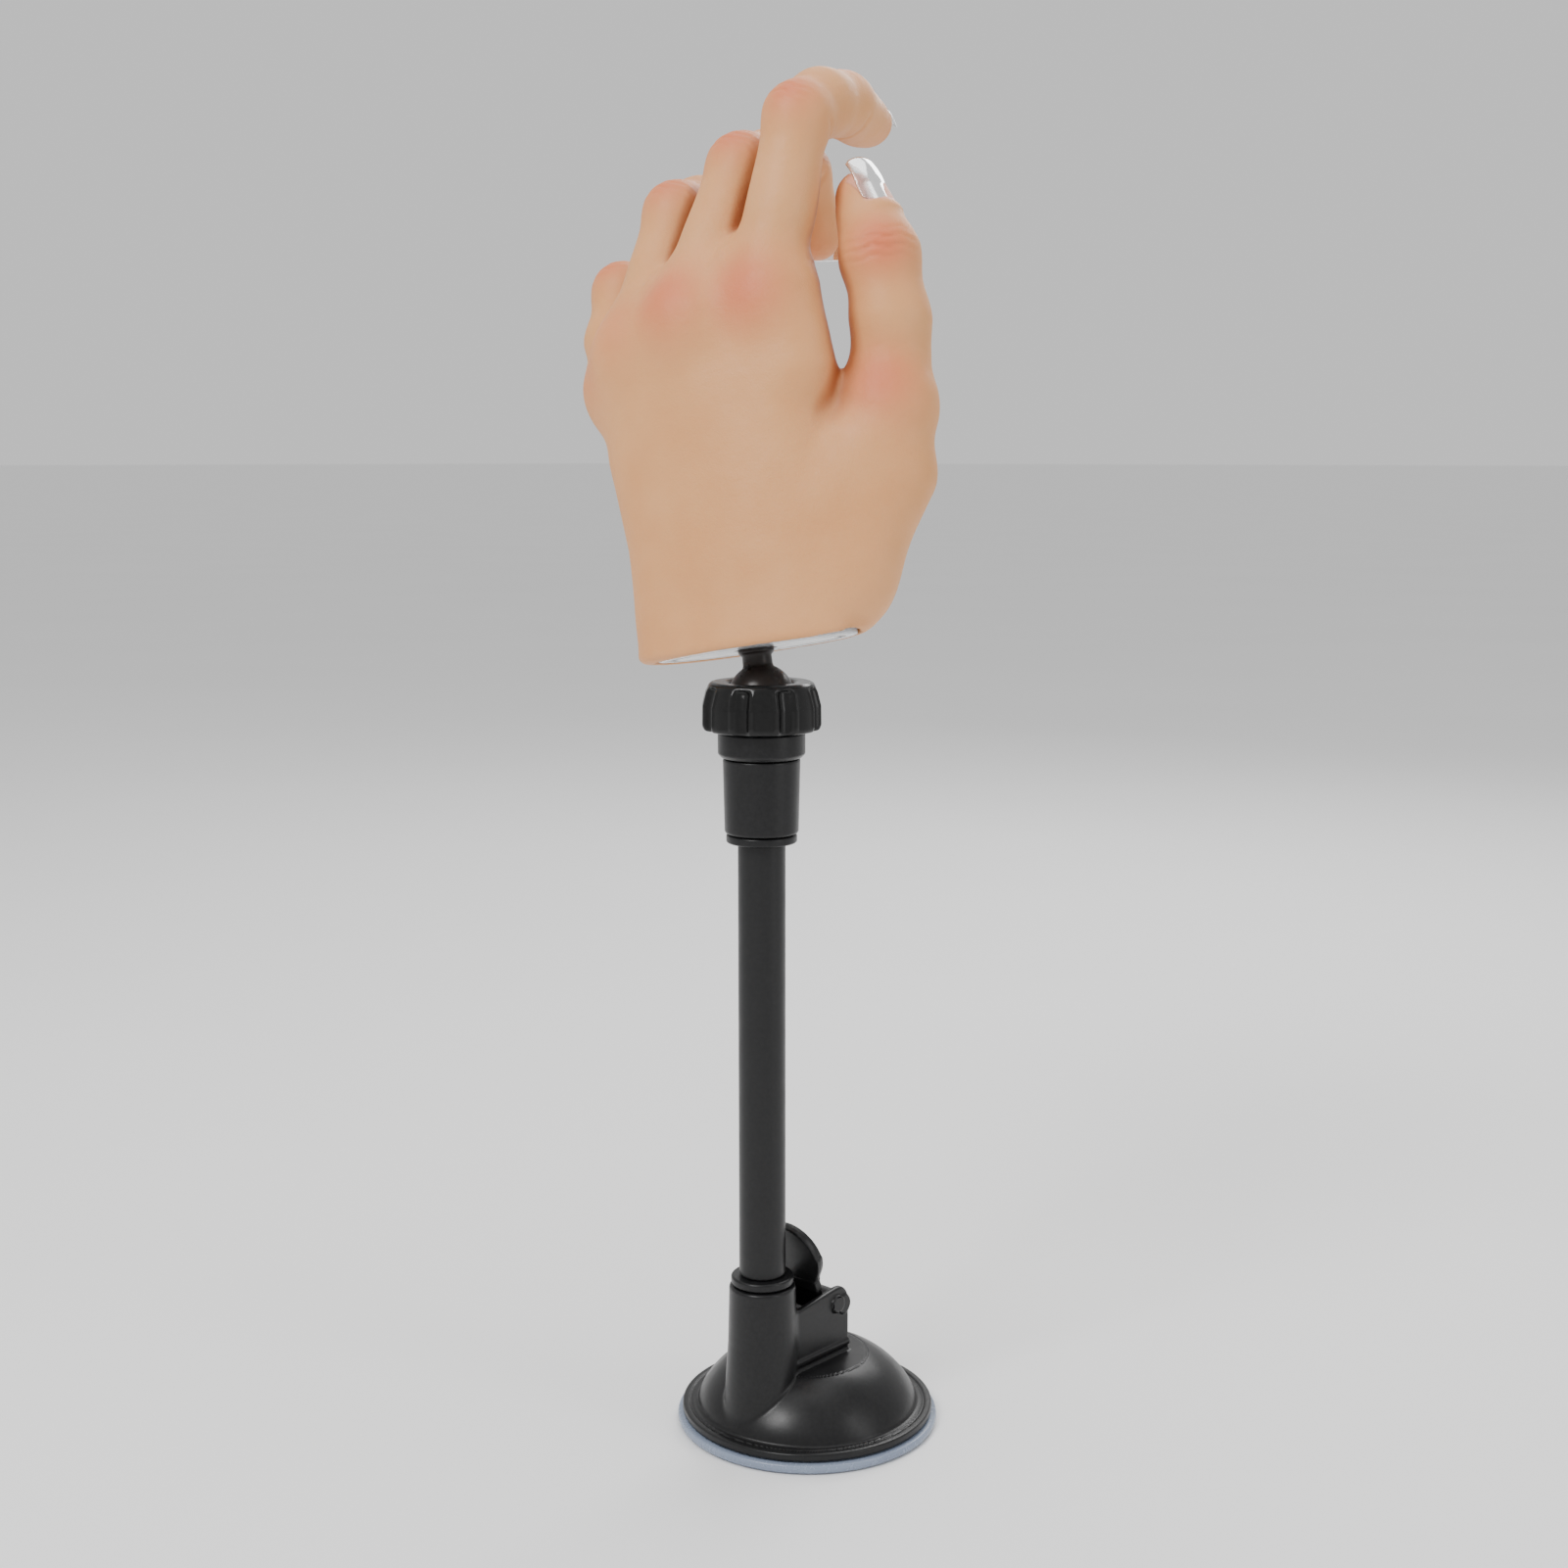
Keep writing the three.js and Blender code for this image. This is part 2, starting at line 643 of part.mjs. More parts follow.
// a finger's skin between its joint at the origin and the next one, or round its tip
function fingerSkin(finger, i) {
  const last = i === finger.bones.length - 1;
  const length = finger.bones[i];
  const [r0, r1] = [finger.radii[i] - GAP, finger.radii[i + 1]];
  const outline = last
    ? [[0, 0], [r0, 0], [r0, length * 0.35], ...arc(r1, 15, 90, 3, length)]
    : [[0, 0], [r0, 0], [Math.min(r0, r1) * 0.97, length / 2], [r1 - GAP, length], [0, length]];
  let skin = cut(
    turned(outline, 12),
    jointRelief(finger.limits[i][1], 1),
    clearBall(finger.radii[i] + GAP),
  );
  if (!last) {
    const [straight, bent] = finger.limits[i + 1];
    const relief = jointRelief(bent, -1).translate([0, 0, length]);
    const end = knuckleBall(r1).translate([0, 0, length]);
    const slot = sweep(straight, bent, r1 + 2).translate([0, 0, length]);
    skin = cut(join(cut(skin, relief), end), slot);
  } else {
    skin = cut(skin, nailPlate(finger, GAP));
  }
  return cut(skin, boneRoom(length, last));
}

// a curved nail on the back of the last bone's skin, with a clear tip that stands past the finger
function nailPlate(finger, grow = 0) {
  const length = finger.bones[finger.bones.length - 1];
  const tipR = finger.radii[finger.radii.length - 1];
  const [width, past] = finger.nail;
  const r = tipR + 0.2;
  const half = THREE.MathUtils.radToDeg(Math.asin(Math.min(0.95, width / 2 / (r + 0.4))));
  const thick = grow > 0 ? 6 : 0.7;
  const outline = [
    ...arc(r - grow, -90 - half, -90 + half, 5),
    ...arc(r + thick, -90 + half, -90 - half, 5),
  ];
  const shape = new THREE.Shape(outline.map(([x, y]) => new THREE.Vector2(x, y)));
  const bottom = length + tipR - 13.5;
  const depth = 13.5 + past + 2 * grow;
  const geometry = new THREE.ExtrudeGeometry(shape, { depth, bevelEnabled: false });
  return solidOf(geometry.translate(0, 0, bottom - grow));
}

// ---------------------------------------------------------------- hand

function fingerFrame(finger) {
  const [x, y, z] = finger.knuckle;
  return new THREE.Matrix4().makeTranslation(x, y, z)
    .multiply(new THREE.Matrix4().makeRotationZ(radians(finger.turn)))
    .multiply(new THREE.Matrix4().makeRotationY(radians(finger.lean)))
    .multiply(new THREE.Matrix4().makeRotationZ(radians(finger.roll)));
}

// a straight tube between two points of the hand, as the room or the rib of the palm frame
function rib(from, to, r) {
  return hull([...ballPoints(from, r, 6), ...ballPoints(to, r, 6)]);
}

// the hub under the wrist and its rib to each knuckle's fork, or, when it grows, the room for them
function palmFrame(grow = 0) {
  const bottom = grow > 0 ? -1 : PLATE.h + GAP;
  const hub = disc(FRAME_HUB_R + grow, bottom, FRAME_HUB_TOP_Z + grow, 12);
  const arms = FINGERS.map((finger) => {
    const frame = fingerFrame(finger);
    const back = new THREE.Vector3(0, 0, -FORK_REACH + 0.6).applyMatrix4(frame);
    const start = [finger.name === "thumb" ? 3 : 0, 0, FRAME_HUB_TOP_Z - 3];
    return join(rib(start, back.toArray(), FRAME_RIB_R + grow), moved(fork(grow), frame));
  });
  return join(hub, arms);
}

function palmSkin() {
  const knuckles = FINGERS.slice(0, 4).flatMap((finger) => {
    const centre = new THREE.Vector3(0, 1, -6).applyMatrix4(fingerFrame(finger));
    return ballPoints(centre.toArray(), finger.radii[0] + 0.6);
  });
  const slabOfPalm = hull([
    ...ellipsePoints(WRIST.a, WRIST.b, 0, 0), ...ellipsePoints(WRIST.a, WRIST.b, 0, 8),
    ...ellipsePoints(MID_PALM.a, MID_PALM.b, MID_PALM.x, MID_PALM.z), ...knuckles,
  ]);
  const thumb = FINGERS[4];
  const root = new THREE.Vector3(0, 0, -4).applyMatrix4(fingerFrame(thumb)).toArray();
  const thenar = hull([
    ...ellipsePoints(WRIST.a - 5, WRIST.b - 3, 5, 0.2), ...ballPoints([18, 19, 20], 14),
    ...ballPoints(root, thumb.radii[0] - 0.4),
  ]);
  const web = hull([
    ...ballPoints([22, 4, 44], 9), ...ballPoints([34, 9, 46], 8), ...ballPoints([14, 0, 58], 11),
  ]);
  let skin = join(slabOfPalm, thenar, web);
  for (const finger of FINGERS) {
    const frame = fingerFrame(finger);
    const r = finger.radii[0];
    const reach = r + 1.2;
    const clear = jointRelief(finger.limits[0][1], -1)
      .intersect(box(-reach, reach, -30, 30, -30, 60));
    skin = join(cut(skin, moved(clear, frame)), moved(knuckleBall(r), frame));
  }
  for (const finger of FINGERS) {
    const [straight, bent] = finger.limits[0];
    skin = cut(skin, moved(sweep(straight, bent, finger.radii[0] + 2), fingerFrame(finger)));
  }
  return cut(
    skin, palmFrame(GAP), ellipseDisc(PLATE.a + GAP, PLATE.b + GAP, -1, PLATE.h + GAP),
  );
}

function wristPlate() {
  return cut(
    ellipseDisc(PLATE.a, PLATE.b, 0, PLATE.h), disc(STUD_SCREW.r + GAP, -1, PLATE.h + 2, 20));
}

function hand() {
  const group = new THREE.Group();
  add(group, "wrist_plate", wristPlate(), LOOKS.clear);
  add(group, "palm_frame", cut(
    palmFrame(), disc(STUD_SCREW.r + GAP, -1, STUD_SCREW.reach + 5.6, 20)), LOOKS.bone);
  add(group, "palm_skin", palmSkin(), LOOKS.skin);
  for (const finger of FINGERS) {
    const names = finger.bones.length === 3
      ? ["proximal", "middle", "distal"] : ["proximal", "distal"];
    const base = new THREE.Group();
    fingerFrame(finger).decompose(base.position, base.quaternion, base.scale);
    group.add(base);
    let parent = base;
    let along = 0;
    names.forEach((part, i) => {
      const segment = new THREE.Group();
      segment.position.set(0, 0, along);
      segment.rotation.x = radians(-finger.bend[i]);
      parent.add(segment);
      const last = i === names.length - 1;
      add(segment, `${finger.name}_${part}_bone`, bone(finger.bones[i], last), LOOKS.bone);
      add(segment, `${finger.name}_${part}_skin`, fingerSkin(finger, i), LOOKS.skin);
      if (last) {
        add(segment, `${finger.name}_nail`, nailPlate(finger), LOOKS.clear);
      }
      parent = segment;
      along = finger.bones[i];
    });
  }
  return group;
}

// ---------------------------------------------------------------- assembly

function stand() {
  const group = new THREE.Group();
  add(group, "gel_pad", gelPad(), LOOKS.gel);
  add(group, "base_housing", baseHousing(), LOOKS.black);
  add(group, "lever_pin", leverPin(), LOOKS.steel);
  add(group, "plunger", plunger(), LOOKS.steel);
  add(group, "release_spring", releaseSpring(), LOOKS.steel);
  const paddle = add(group, "lever", lever(), LOOKS.black);
  paddle.position.set(LEVER_PIVOT.x, 0, LEVER_PIVOT.z);
  paddle.rotation.y = radians(-LEVER_LEAN);

  const arm = new THREE.Group();
  arm.position.set(TOWER_X, 0, 0);
  group.add(arm);
  add(arm, "base_collar",
    ring(ARM_BORE_R, 8.25, TOWER_TOP_Z + GAP, ARM_START_Z - GAP), LOOKS.black);
  armLinks(arm);
  add(arm, "head_ring", ring(ARM_BORE_R, RING_R, ...RING_Z), LOOKS.black);
  add(arm, "head_sleeve", headSleeve(), LOOKS.black);
  add(arm, "head_band", ring(BAND_R - BAND_WALL + GAP, BAND_R, ...BAND_Z), LOOKS.black);
  add(arm, "seat_liner", seatLiner(), LOOKS.black);
  add(arm, "thread_ring", threadRing(), LOOKS.steel);
  add(arm, "lock_nut", lockNut(), LOOKS.black);
  return group;
}

const object = new THREE.Group();
object.add(stand());

const onBall = new THREE.Group();
onBall.position.set(TOWER_X, 0, BALL_Z);
const leanAxis = new THREE.Vector3(-sin(HAND_LEAN_TO), cos(HAND_LEAN_TO), 0);
onBall.quaternion.setFromAxisAngle(leanAxis, radians(HAND_LEAN));
add(onBall, "ball_stud", ballStud(), LOOKS.black);
const palm = hand();
palm.position.set(0, 0, STUD_LENGTH);
palm.rotation.z = radians(HAND_RADIAL_TO);
onBall.add(palm);
object.add(onBall);
object.updateMatrixWorld(true);

export default object;
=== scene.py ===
# Looks of a poseable silicone practice hand on a bendable arm with a suction foot, made round the
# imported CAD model.
import json
import math

import bpy
import numpy as np
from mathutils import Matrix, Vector


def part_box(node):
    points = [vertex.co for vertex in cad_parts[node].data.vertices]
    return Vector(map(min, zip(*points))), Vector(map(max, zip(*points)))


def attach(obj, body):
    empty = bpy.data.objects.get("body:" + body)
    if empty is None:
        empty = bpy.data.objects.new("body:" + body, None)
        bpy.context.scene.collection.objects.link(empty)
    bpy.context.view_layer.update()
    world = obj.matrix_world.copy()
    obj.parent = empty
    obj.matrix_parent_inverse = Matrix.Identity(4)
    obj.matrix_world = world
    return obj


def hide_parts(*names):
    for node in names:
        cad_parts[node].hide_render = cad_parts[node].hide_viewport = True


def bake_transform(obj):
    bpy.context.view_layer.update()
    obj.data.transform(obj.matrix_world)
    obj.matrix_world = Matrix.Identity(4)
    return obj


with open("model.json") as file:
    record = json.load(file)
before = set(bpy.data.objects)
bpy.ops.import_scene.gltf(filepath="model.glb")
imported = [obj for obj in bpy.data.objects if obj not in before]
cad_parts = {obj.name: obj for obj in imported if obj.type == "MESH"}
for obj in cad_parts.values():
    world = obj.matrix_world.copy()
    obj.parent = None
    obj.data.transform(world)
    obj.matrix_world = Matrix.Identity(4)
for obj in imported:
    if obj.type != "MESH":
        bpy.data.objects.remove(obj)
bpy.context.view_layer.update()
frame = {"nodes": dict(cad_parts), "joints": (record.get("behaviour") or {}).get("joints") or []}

MM = 0.001
JOINTS = {joint["name"]: joint for joint in frame["joints"]}

# ---- sizes, in millimetres

WRIST_EDGE = -1.8  # where the flesh ends, below the middle of the wrist
PLATE = (28.4, 13.9, 3.0)  # the wrist plate's half width, half depth, and height above the middle
STUD_LENGTH = 13.6  # from the middle of the ball to the middle of the wrist
RADIAL_TO = -77.3  # the way from the little finger to the thumb, about the stud, in degrees
GRID = 0.7
LAYER_GRID = 1.2
LAYER_GAP = 0.25  # how far the hidden skin at a knuckle lies under the skin that shows
DOME_GAP = 0.35  # the same for the ball of skin in the middle of a knuckle
BLEND_REACH = 8.5  # how far past its joint the skin beyond that joint reaches, from which a limit is worked out
NAIL_COVER = 12.5  # from a nail's root to the end of the finger
HAND_BOX = ((-52, -26, -4.1), (62, 72, 156))

PALM_STATIONS = [  # height, half width, half depth, centre x, centre y
    (-12, 31.3, 16.2, -1.7, 0.0), (0, 31.3, 16.2, -1.7, 0.0), (12, 31.2, 15.6, -1.0, 0.2),
    (28, 30.2, 14.2, 0.2, 0.4), (45, 29.6, 13.0, -1.6, 0.4), (60, 28.6, 11.6, -4.2, -0.4),
    (72, 26.0, 10.2, -6.4, -1.0),
]
FINGERS = {
    # radii from the knuckle to the tip; the last bone's length and bend; the nail's width and its
    # reach past the tip; how far the flesh stands out at a joint (corner) and between two (arch)
    "index": dict(radii=(8.9, 8.2, 8.2, 6.2), tip=16, bend=24, nail=(10.5, 4), corner=2.6,
                  arch=1.7),
    "middle": dict(radii=(9, 8.5, 8, 6.5), tip=19, bend=71, nail=(11, 3), corner=2.2, arch=1.8),
    "ring": dict(radii=(8.6, 8, 7.6, 6.2), tip=18, bend=45, nail=(10, 3), corner=2, arch=1.6),
    "little": dict(radii=(6.8, 7.6, 6.5, 5.4), tip=16, bend=35, nail=(8.8, 3), corner=1.4, arch=1,
                   sway=-2.4),
    "thumb": dict(radii=(9.2, 9.5, 6.4), tip=16.8, bend=17, nail=(12, 3.4), corner=1,
                  roll=52, aside=-0.17, sway=1.2),
}
# where a finger's skin is cut into pieces, along it from the joint past the knuckle
USUAL_CUTS = (-9.72, 14.6)
CUTS = {"little": (-7.2, 10.8), "thumb": (-11.0,)}
FILLET = 8.0
THUMB_FILLET = 7.0
FAR = 30.0

# ---- small tools


def unit(v):
    v = np.asarray(v, float)
    return v / np.linalg.norm(v)


def rotated(v, axis, degrees):
    a = math.radians(degrees)
    c, s = math.cos(a), math.sin(a)
    return v * c + np.cross(axis, v) * s + axis * (axis @ v) * (1 - c)


def smooth_min(a, b, k):
    h = np.maximum(k - np.abs(a - b), 0) / k
    return np.minimum(a, b) - h * h * k / 4


def smooth_max(a, b, k):
    return -smooth_min(-a, -b, k)


def bump(x, width):
    return np.exp(-((x / width) ** 2))


def ramp(x, low, high):
    t = np.clip((x - low) / (high - low), 0, 1)
    return t * t * (3 - 2 * t)


# ---- surfaces from distance-like fields


class Shape:
    """A field that is about the distance to a surface, with the box that it matters in."""

    def __init__(self, centres, reach, field, k):
        centres = np.atleast_2d(centres)
        self.lo = centres.min(0) - reach
        self.hi = centres.max(0) + reach
        self.field = field
        self.k = k


def cone(a, b, ra, rb, k=FILLET):
    a, b = np.asarray(a, float), np.asarray(b, float)
    ab = b - a

    def field(p):
        t = np.clip((p - a) @ ab / (ab @ ab), 0, 1)
        return np.linalg.norm(p - a - t[..., None] * ab, axis=-1) - (ra + (rb - ra) * t)

    return Shape([a, b], max(ra, rb), field, k)


def blob(centre, radii, axes, k):
    """An ellipsoid whose half axes lie along the columns of axes."""
    radii = np.asarray(radii, float)

    def field(p):
        q = (p - centre) @ axes
        n = np.linalg.norm(q / radii, axis=-1)
        g = np.linalg.norm(q / radii**2, axis=-1)
        return n * (n - 1) / np.maximum(g, 1e-6)

    return Shape(centre, radii.max(), field, k)


def segment(frame_at, length, r0, r1, wide, painted_shade, waist, k):
    """A finger between two joints, oval across, in a frame of an origin and axes as columns."""
    origin, axes = frame_at

    def field(p):
        q = (p - origin) @ axes
        t = np.clip(q[..., 2] / length, 0, 1)
        r = r0 + (r1 - r0) * t - 4 * waist * t * (1 - t)
        over = q[..., 2] - t * length
        return np.sqrt((q[..., 0] / wide) ** 2 + (q[..., 1] / painted_shade) ** 2 + over**2) - r

    ends = [origin, origin + axes[:, 2] * length]
    return Shape(ends, max(r0, r1) * max(wide, painted_shade), field, k)


def palm_loft():
    z, a, b, cx, cy = np.array(PALM_STATIONS, float).T
    power = 2.25

    def field(p):
        h = np.clip(p[..., 2], z[0], z[-1])
        half_b = np.interp(h, z, b)
        u = np.abs(p[..., 0] - np.interp(h, z, cx)) / np.interp(h, z, a)
        v = np.abs(p[..., 1] - np.interp(h, z, cy)) / half_b
        side = ((u**power + v**power) ** (1 / power) - 1) * half_b
        over = p[..., 2] - h
        return np.where(over > 0, smooth_max(side, over - 2.0, 6.0), side)

    return Shape([[-38, -18, -12], [34, 18, 76]], 4.0, field, FILLET)


def merged(shapes, p):
    total = shapes[0].field(p)
    for shape in shapes[1:]:
        total = smooth_min(total, shape.field(p), shape.k)
    return total


def on_lattice(shapes, axes):
    """The merged field on a lattice, with each shape worked out only near itself."""
    size = np.array([len(a) for a in axes])
    total = np.full(size, FAR)
    low = np.array([a[0] for a in axes])
    step = axes[0][1] - axes[0][0]
    for shape in shapes:
        pad = shape.k + 3.0
        i0 = np.clip(np.floor((shape.lo - pad - low) / step).astype(int), 0, size)
        i1 = np.clip(np.ceil((shape.hi + pad - low) / step).astype(int) + 1, 0, size)
        sub = tuple(slice(a, b) for a, b in zip(i0, i1))
        p = np.stack(np.meshgrid(*[ax[s] for ax, s in zip(axes, sub)], indexing="ij"), -1)
        total[sub] = smooth_min(total[sub], shape.field(p), shape.k)
    return total


def surface_nets(f, axes):
    """A quad mesh of the field's zero surface, with one vertex in each cell that it crosses."""
    inside = f < 0
    nx, ny, nz = f.shape
    count = np.zeros((nx - 1, ny - 1, nz - 1), np.int8)
    corners = [np.array([a, b, c]) for a in (0, 1) for b in (0, 1) for c in (0, 1)]
    for a, b, c in corners:
        count += inside[a:nx - 1 + a, b:ny - 1 + b, c:nz - 1 + c]
    active = (count > 0) & (count < 8)
    number = np.full(active.shape, -1)
    number[active] = np.arange(active.sum())
    cells = np.argwhere(active)
    total = np.zeros((len(cells), 3))
    hits = np.zeros(len(cells))
    for start in corners:
        for axis in range(3):
            if start[axis]:
                continue
            end = start.copy()
            end[axis] = 1
            fa, fb = f[tuple((cells + start).T)], f[tuple((cells + end).T)]
            crossed = (fa < 0) != (fb < 0)
            t = np.where(crossed, fa / np.where(crossed, fa - fb, 1), 0)
            total += np.where(crossed[:, None], start + t[:, None] * (end - start), 0)
            hits += crossed
    step = axes[0][1] - axes[0][0]
    verts = np.array([a[0] for a in axes]) + step * (cells + total / hits[:, None])
    faces = []
    for axis, (u, v) in enumerate([(1, 2), (2, 0), (0, 1)]):
        first = np.take(inside, range(f.shape[axis] - 1), axis)
        second = np.take(inside, range(1, f.shape[axis]), axis)
        edges = np.argwhere(first != second)
        edges = edges[(edges[:, u] > 0) & (edges[:, v] > 0)
                      & (edges[:, u] < f.shape[u] - 1) & (edges[:, v] < f.shape[v] - 1)]
        du, dv = np.eye(3, dtype=int)[u], np.eye(3, dtype=int)[v]
        around = (-du - dv, -dv, 0 * du, -du)
        quad = np.stack([number[tuple((edges + s).T)] for s in around], 1)
        flip = second[tuple(edges.T)]
        quad[flip] = quad[flip][:, ::-1]
        faces.append(quad)
    return verts, np.concatenate(faces)


def gradient(field, p, h):
    total = np.zeros_like(p)
    for corner in ((1, -1, -1), (-1, -1, 1), (-1, 1, -1), (1, 1, 1)):
        c = np.array(corner, float)
        total += field(p + h * c)[:, None] * c
    return total / (4 * h)


def settled(field, p, rounds, h):
    """The points moved onto the field's zero surface, and the surface's normals there."""
    for _ in range(rounds):
        g = gradient(field, p, h)
        step = np.clip(field(p), -1, 1)[:, None]
        p = p - step * g / np.maximum((g * g).sum(1), 0.2)[:, None]
    g = gradient(field, p, h)
    return p, g / np.linalg.norm(g, axis=1, keepdims=True)


def lattice(low, high, step):
    return [np.arange(a, b, step) for a, b in zip(low, high)]


# ---- the hand's own frame


class HandFrame:
    """x to the thumb, y out of the palm and z to the fingers, from the middle of the wrist."""

    def __init__(self):
        up = unit(JOINTS["hand_spin"]["axis"])
        ball = np.array(JOINTS["hand_spin"]["pos_m"]) / MM
        lean_axis = unit(JOINTS["ball_tilt"]["axis"])
        lean = math.degrees(math.acos(up[2]))
        side = rotated(np.array([1.0, 0, 0]), lean_axis, lean)
        across = rotated(side, up, RADIAL_TO)
        self.axes = np.column_stack([across, np.cross(up, across), up])
        self.origin = ball + up * STUD_LENGTH

    def outside(self, points):
        """The points in the CAD frame, in millimetres."""
        return np.asarray(points, float) @ self.axes.T + self.origin

    def way(self, directions):
        return np.asarray(directions, float) @ self.axes.T

    def joint(self, name):
        place = np.array(JOINTS[name]["pos_m"]) / MM - self.origin
        return place @ self.axes, np.array(JOINTS[name]["axis"]) @ self.axes


HAND = HandFrame()


class Finger:
    """One finger's joints and the frames of its bones: an origin, axes as columns, and a length."""

    def __init__(self, name):
        data = FINGERS[name]
        self.name = name
        self.thumb = name == "thumb"
        self.radii = data["radii"]
        self.nail = data["nail"]
        self.parts = ["proximal", "distal"] if self.thumb else ["proximal", "middle", "distal"]
        steps = ["knuckle", "tip"] if self.thumb else ["knuckle", "middle", "tip"]
        found = [HAND.joint(f"{name}_{step}_bend") for step in steps]
        places = [place for place, _ in found]
        axis = unit(found[0][1])
        self.across = axis if self.thumb else -axis
        ways = [unit(b - a) for a, b in zip(places, places[1:])]
        last = rotated(ways[-1], -self.across, data["bend"])
        ways.append(unit(last + data.get("aside", 0) * self.across))
        places.append(places[-1] + ways[-1] * data["tip"])
        self.places, self.ways = places, ways
        self.bones = self.frames_between(places)
        line = list(places)
        for i in range(1, len(ways)):
            line[i] = places[i] + data["corner"] * (ways[i] - ways[i - 1])
        if not self.thumb:
            back = -self.bones[1][0][1][:, 1]
            line.insert(2, (line[1] + line[2]) / 2 + back * data["arch"])
            r = self.radii
            self.radii = (r[0], r[1], (r[1] + r[2]) / 2, r[2], r[3])
        if "sway" in data:
            line.insert(1, (line[0] + line[1]) / 2 + self.across * data["sway"])
            self.radii = (self.radii[0], (self.radii[0] + self.radii[1]) / 2, *self.radii[1:])
        self.flesh = self.frames_between(line)
        (origin, axes), _ = self.bones[-1]
        a = math.radians(data.get("roll", 0))
        x, y, z = axes.T
        rolled = [x * math.cos(a) + y * math.sin(a), y * math.cos(a) - x * math.sin(a), z]
        self.nail_frame = (origin, np.column_stack(rolled))
        # a way between the bones' ways at each joint, and the cuts between pieces
        shares = [(0.7, 0.3)] if self.thumb else [(0.3, 0.7), (0.7, 0.3)]
        self.turns = [unit(m * a + n * b) for (m, n), a, b in zip(shares, ways, ways[1:])]
        lows = CUTS.get(name, USUAL_CUTS)
        self.cuts = [(places[1], way, low) for way, low in zip((self.turns[0], ways[1]), lows)]

    def frames_between(self, places):
        frames = []
        for a, b in zip(places, places[1:]):
            way = unit(b - a)
            side = unit(self.across - way * (way @ self.across))
            axes = np.column_stack([side, np.cross(way, side), way])
            frames.append(((a, axes), np.linalg.norm(b - a)))
        return frames

    def at(self, part, x, y, z):
        (origin, axes), _ = self.bones[part]
        return origin + axes @ np.array([x, y, z], float)

    def shapes(self):
        shapes = []
        last = len(self.flesh) - 1
        for i, (frame_at, length) in enumerate(self.flesh):
            origin, axes = frame_at
            r0, r1 = self.radii[i], self.radii[i + 1]
            if i == last:
                shapes.append(segment(frame_at, length, r0 * 0.97, r1, 1.06, 0.96, 0.0, 3.0))
                pulp = origin + axes @ np.array([0, 1.0, length * 0.62])
                shapes.append(blob(pulp, (r1, r1 * 0.94, r1 * 1.35), axes, 4.0))
            else:
                waist = 0.35 if i == 0 else 0.0
                shapes.append(segment(frame_at, length, r0, r1, 1.0, 0.98, waist, 3.5))
                if i == 0:
                    pad = origin + axes @ np.array([0, 2.2, length * 0.5])
                    shapes.append(blob(pad, (r1 * 0.86, r1 * 0.8, length * 0.3), axes, 5.0))
        return shapes

    def joint_frame(self, i):
        """The place of joint i, the way along the skin there, and the way to the hand's back."""
        way = unit(self.ways[i - 1] + self.ways[i])
        return self.places[i], way, unit(np.cross(self.across, way))

    def creases(self, p):
        """How far in the skin is folded over the joints and pressed in under the nail."""
        total = np.zeros(p.shape[:-1])
        for i in range(1, len(self.ways)):
            place, way, back = self.joint_frame(i)
            q = p - place
            along, out, side = q @ way, q @ back, q @ self.across
            near = bump(along, 7) * bump(side, 9)
            wavy = along + 0.35 * np.sin(side * 0.9) + 0.1 * side
            more = 1.5 if self.thumb else 1.0 if i == 1 else 0.5
            for offset, depth in ((-3.6, 0.18), (-1.2, 0.3), (1.3, 0.26), (3.7, 0.14)):
                total += more * near * ramp(out, 2, 6) * depth * bump(wavy - offset, 0.6)
            total += ramp(-out, 1, 5) * 0.5 * bump(along, 0.8)
        return total + self.nail_bed(p)

    def nail_bed(self, p):
        origin, axes = self.nail_frame
        q = (p - origin) @ axes
        half = self.nail[0] / 2
        start = self.nail_start()
        past = ramp(q[..., 2], start + 0.3, start + 1.6)
        aside = half - np.abs(q[..., 0])
        sunk = 0.5 * past * ramp(aside, -0.4, 0.6) * (q[..., 1] < 0)
        lip = bump(q[..., 2] - start + 0.9, 1.1) * ramp(aside + 1, 0, 3) * (q[..., 1] < 0)
        return sunk - 0.3 * lip

    def nail_start(self):
        return self.bones[-1][1] + self.radii[-1] - NAIL_COVER


HAND_FINGERS = {name: Finger(name) for name in FINGERS}


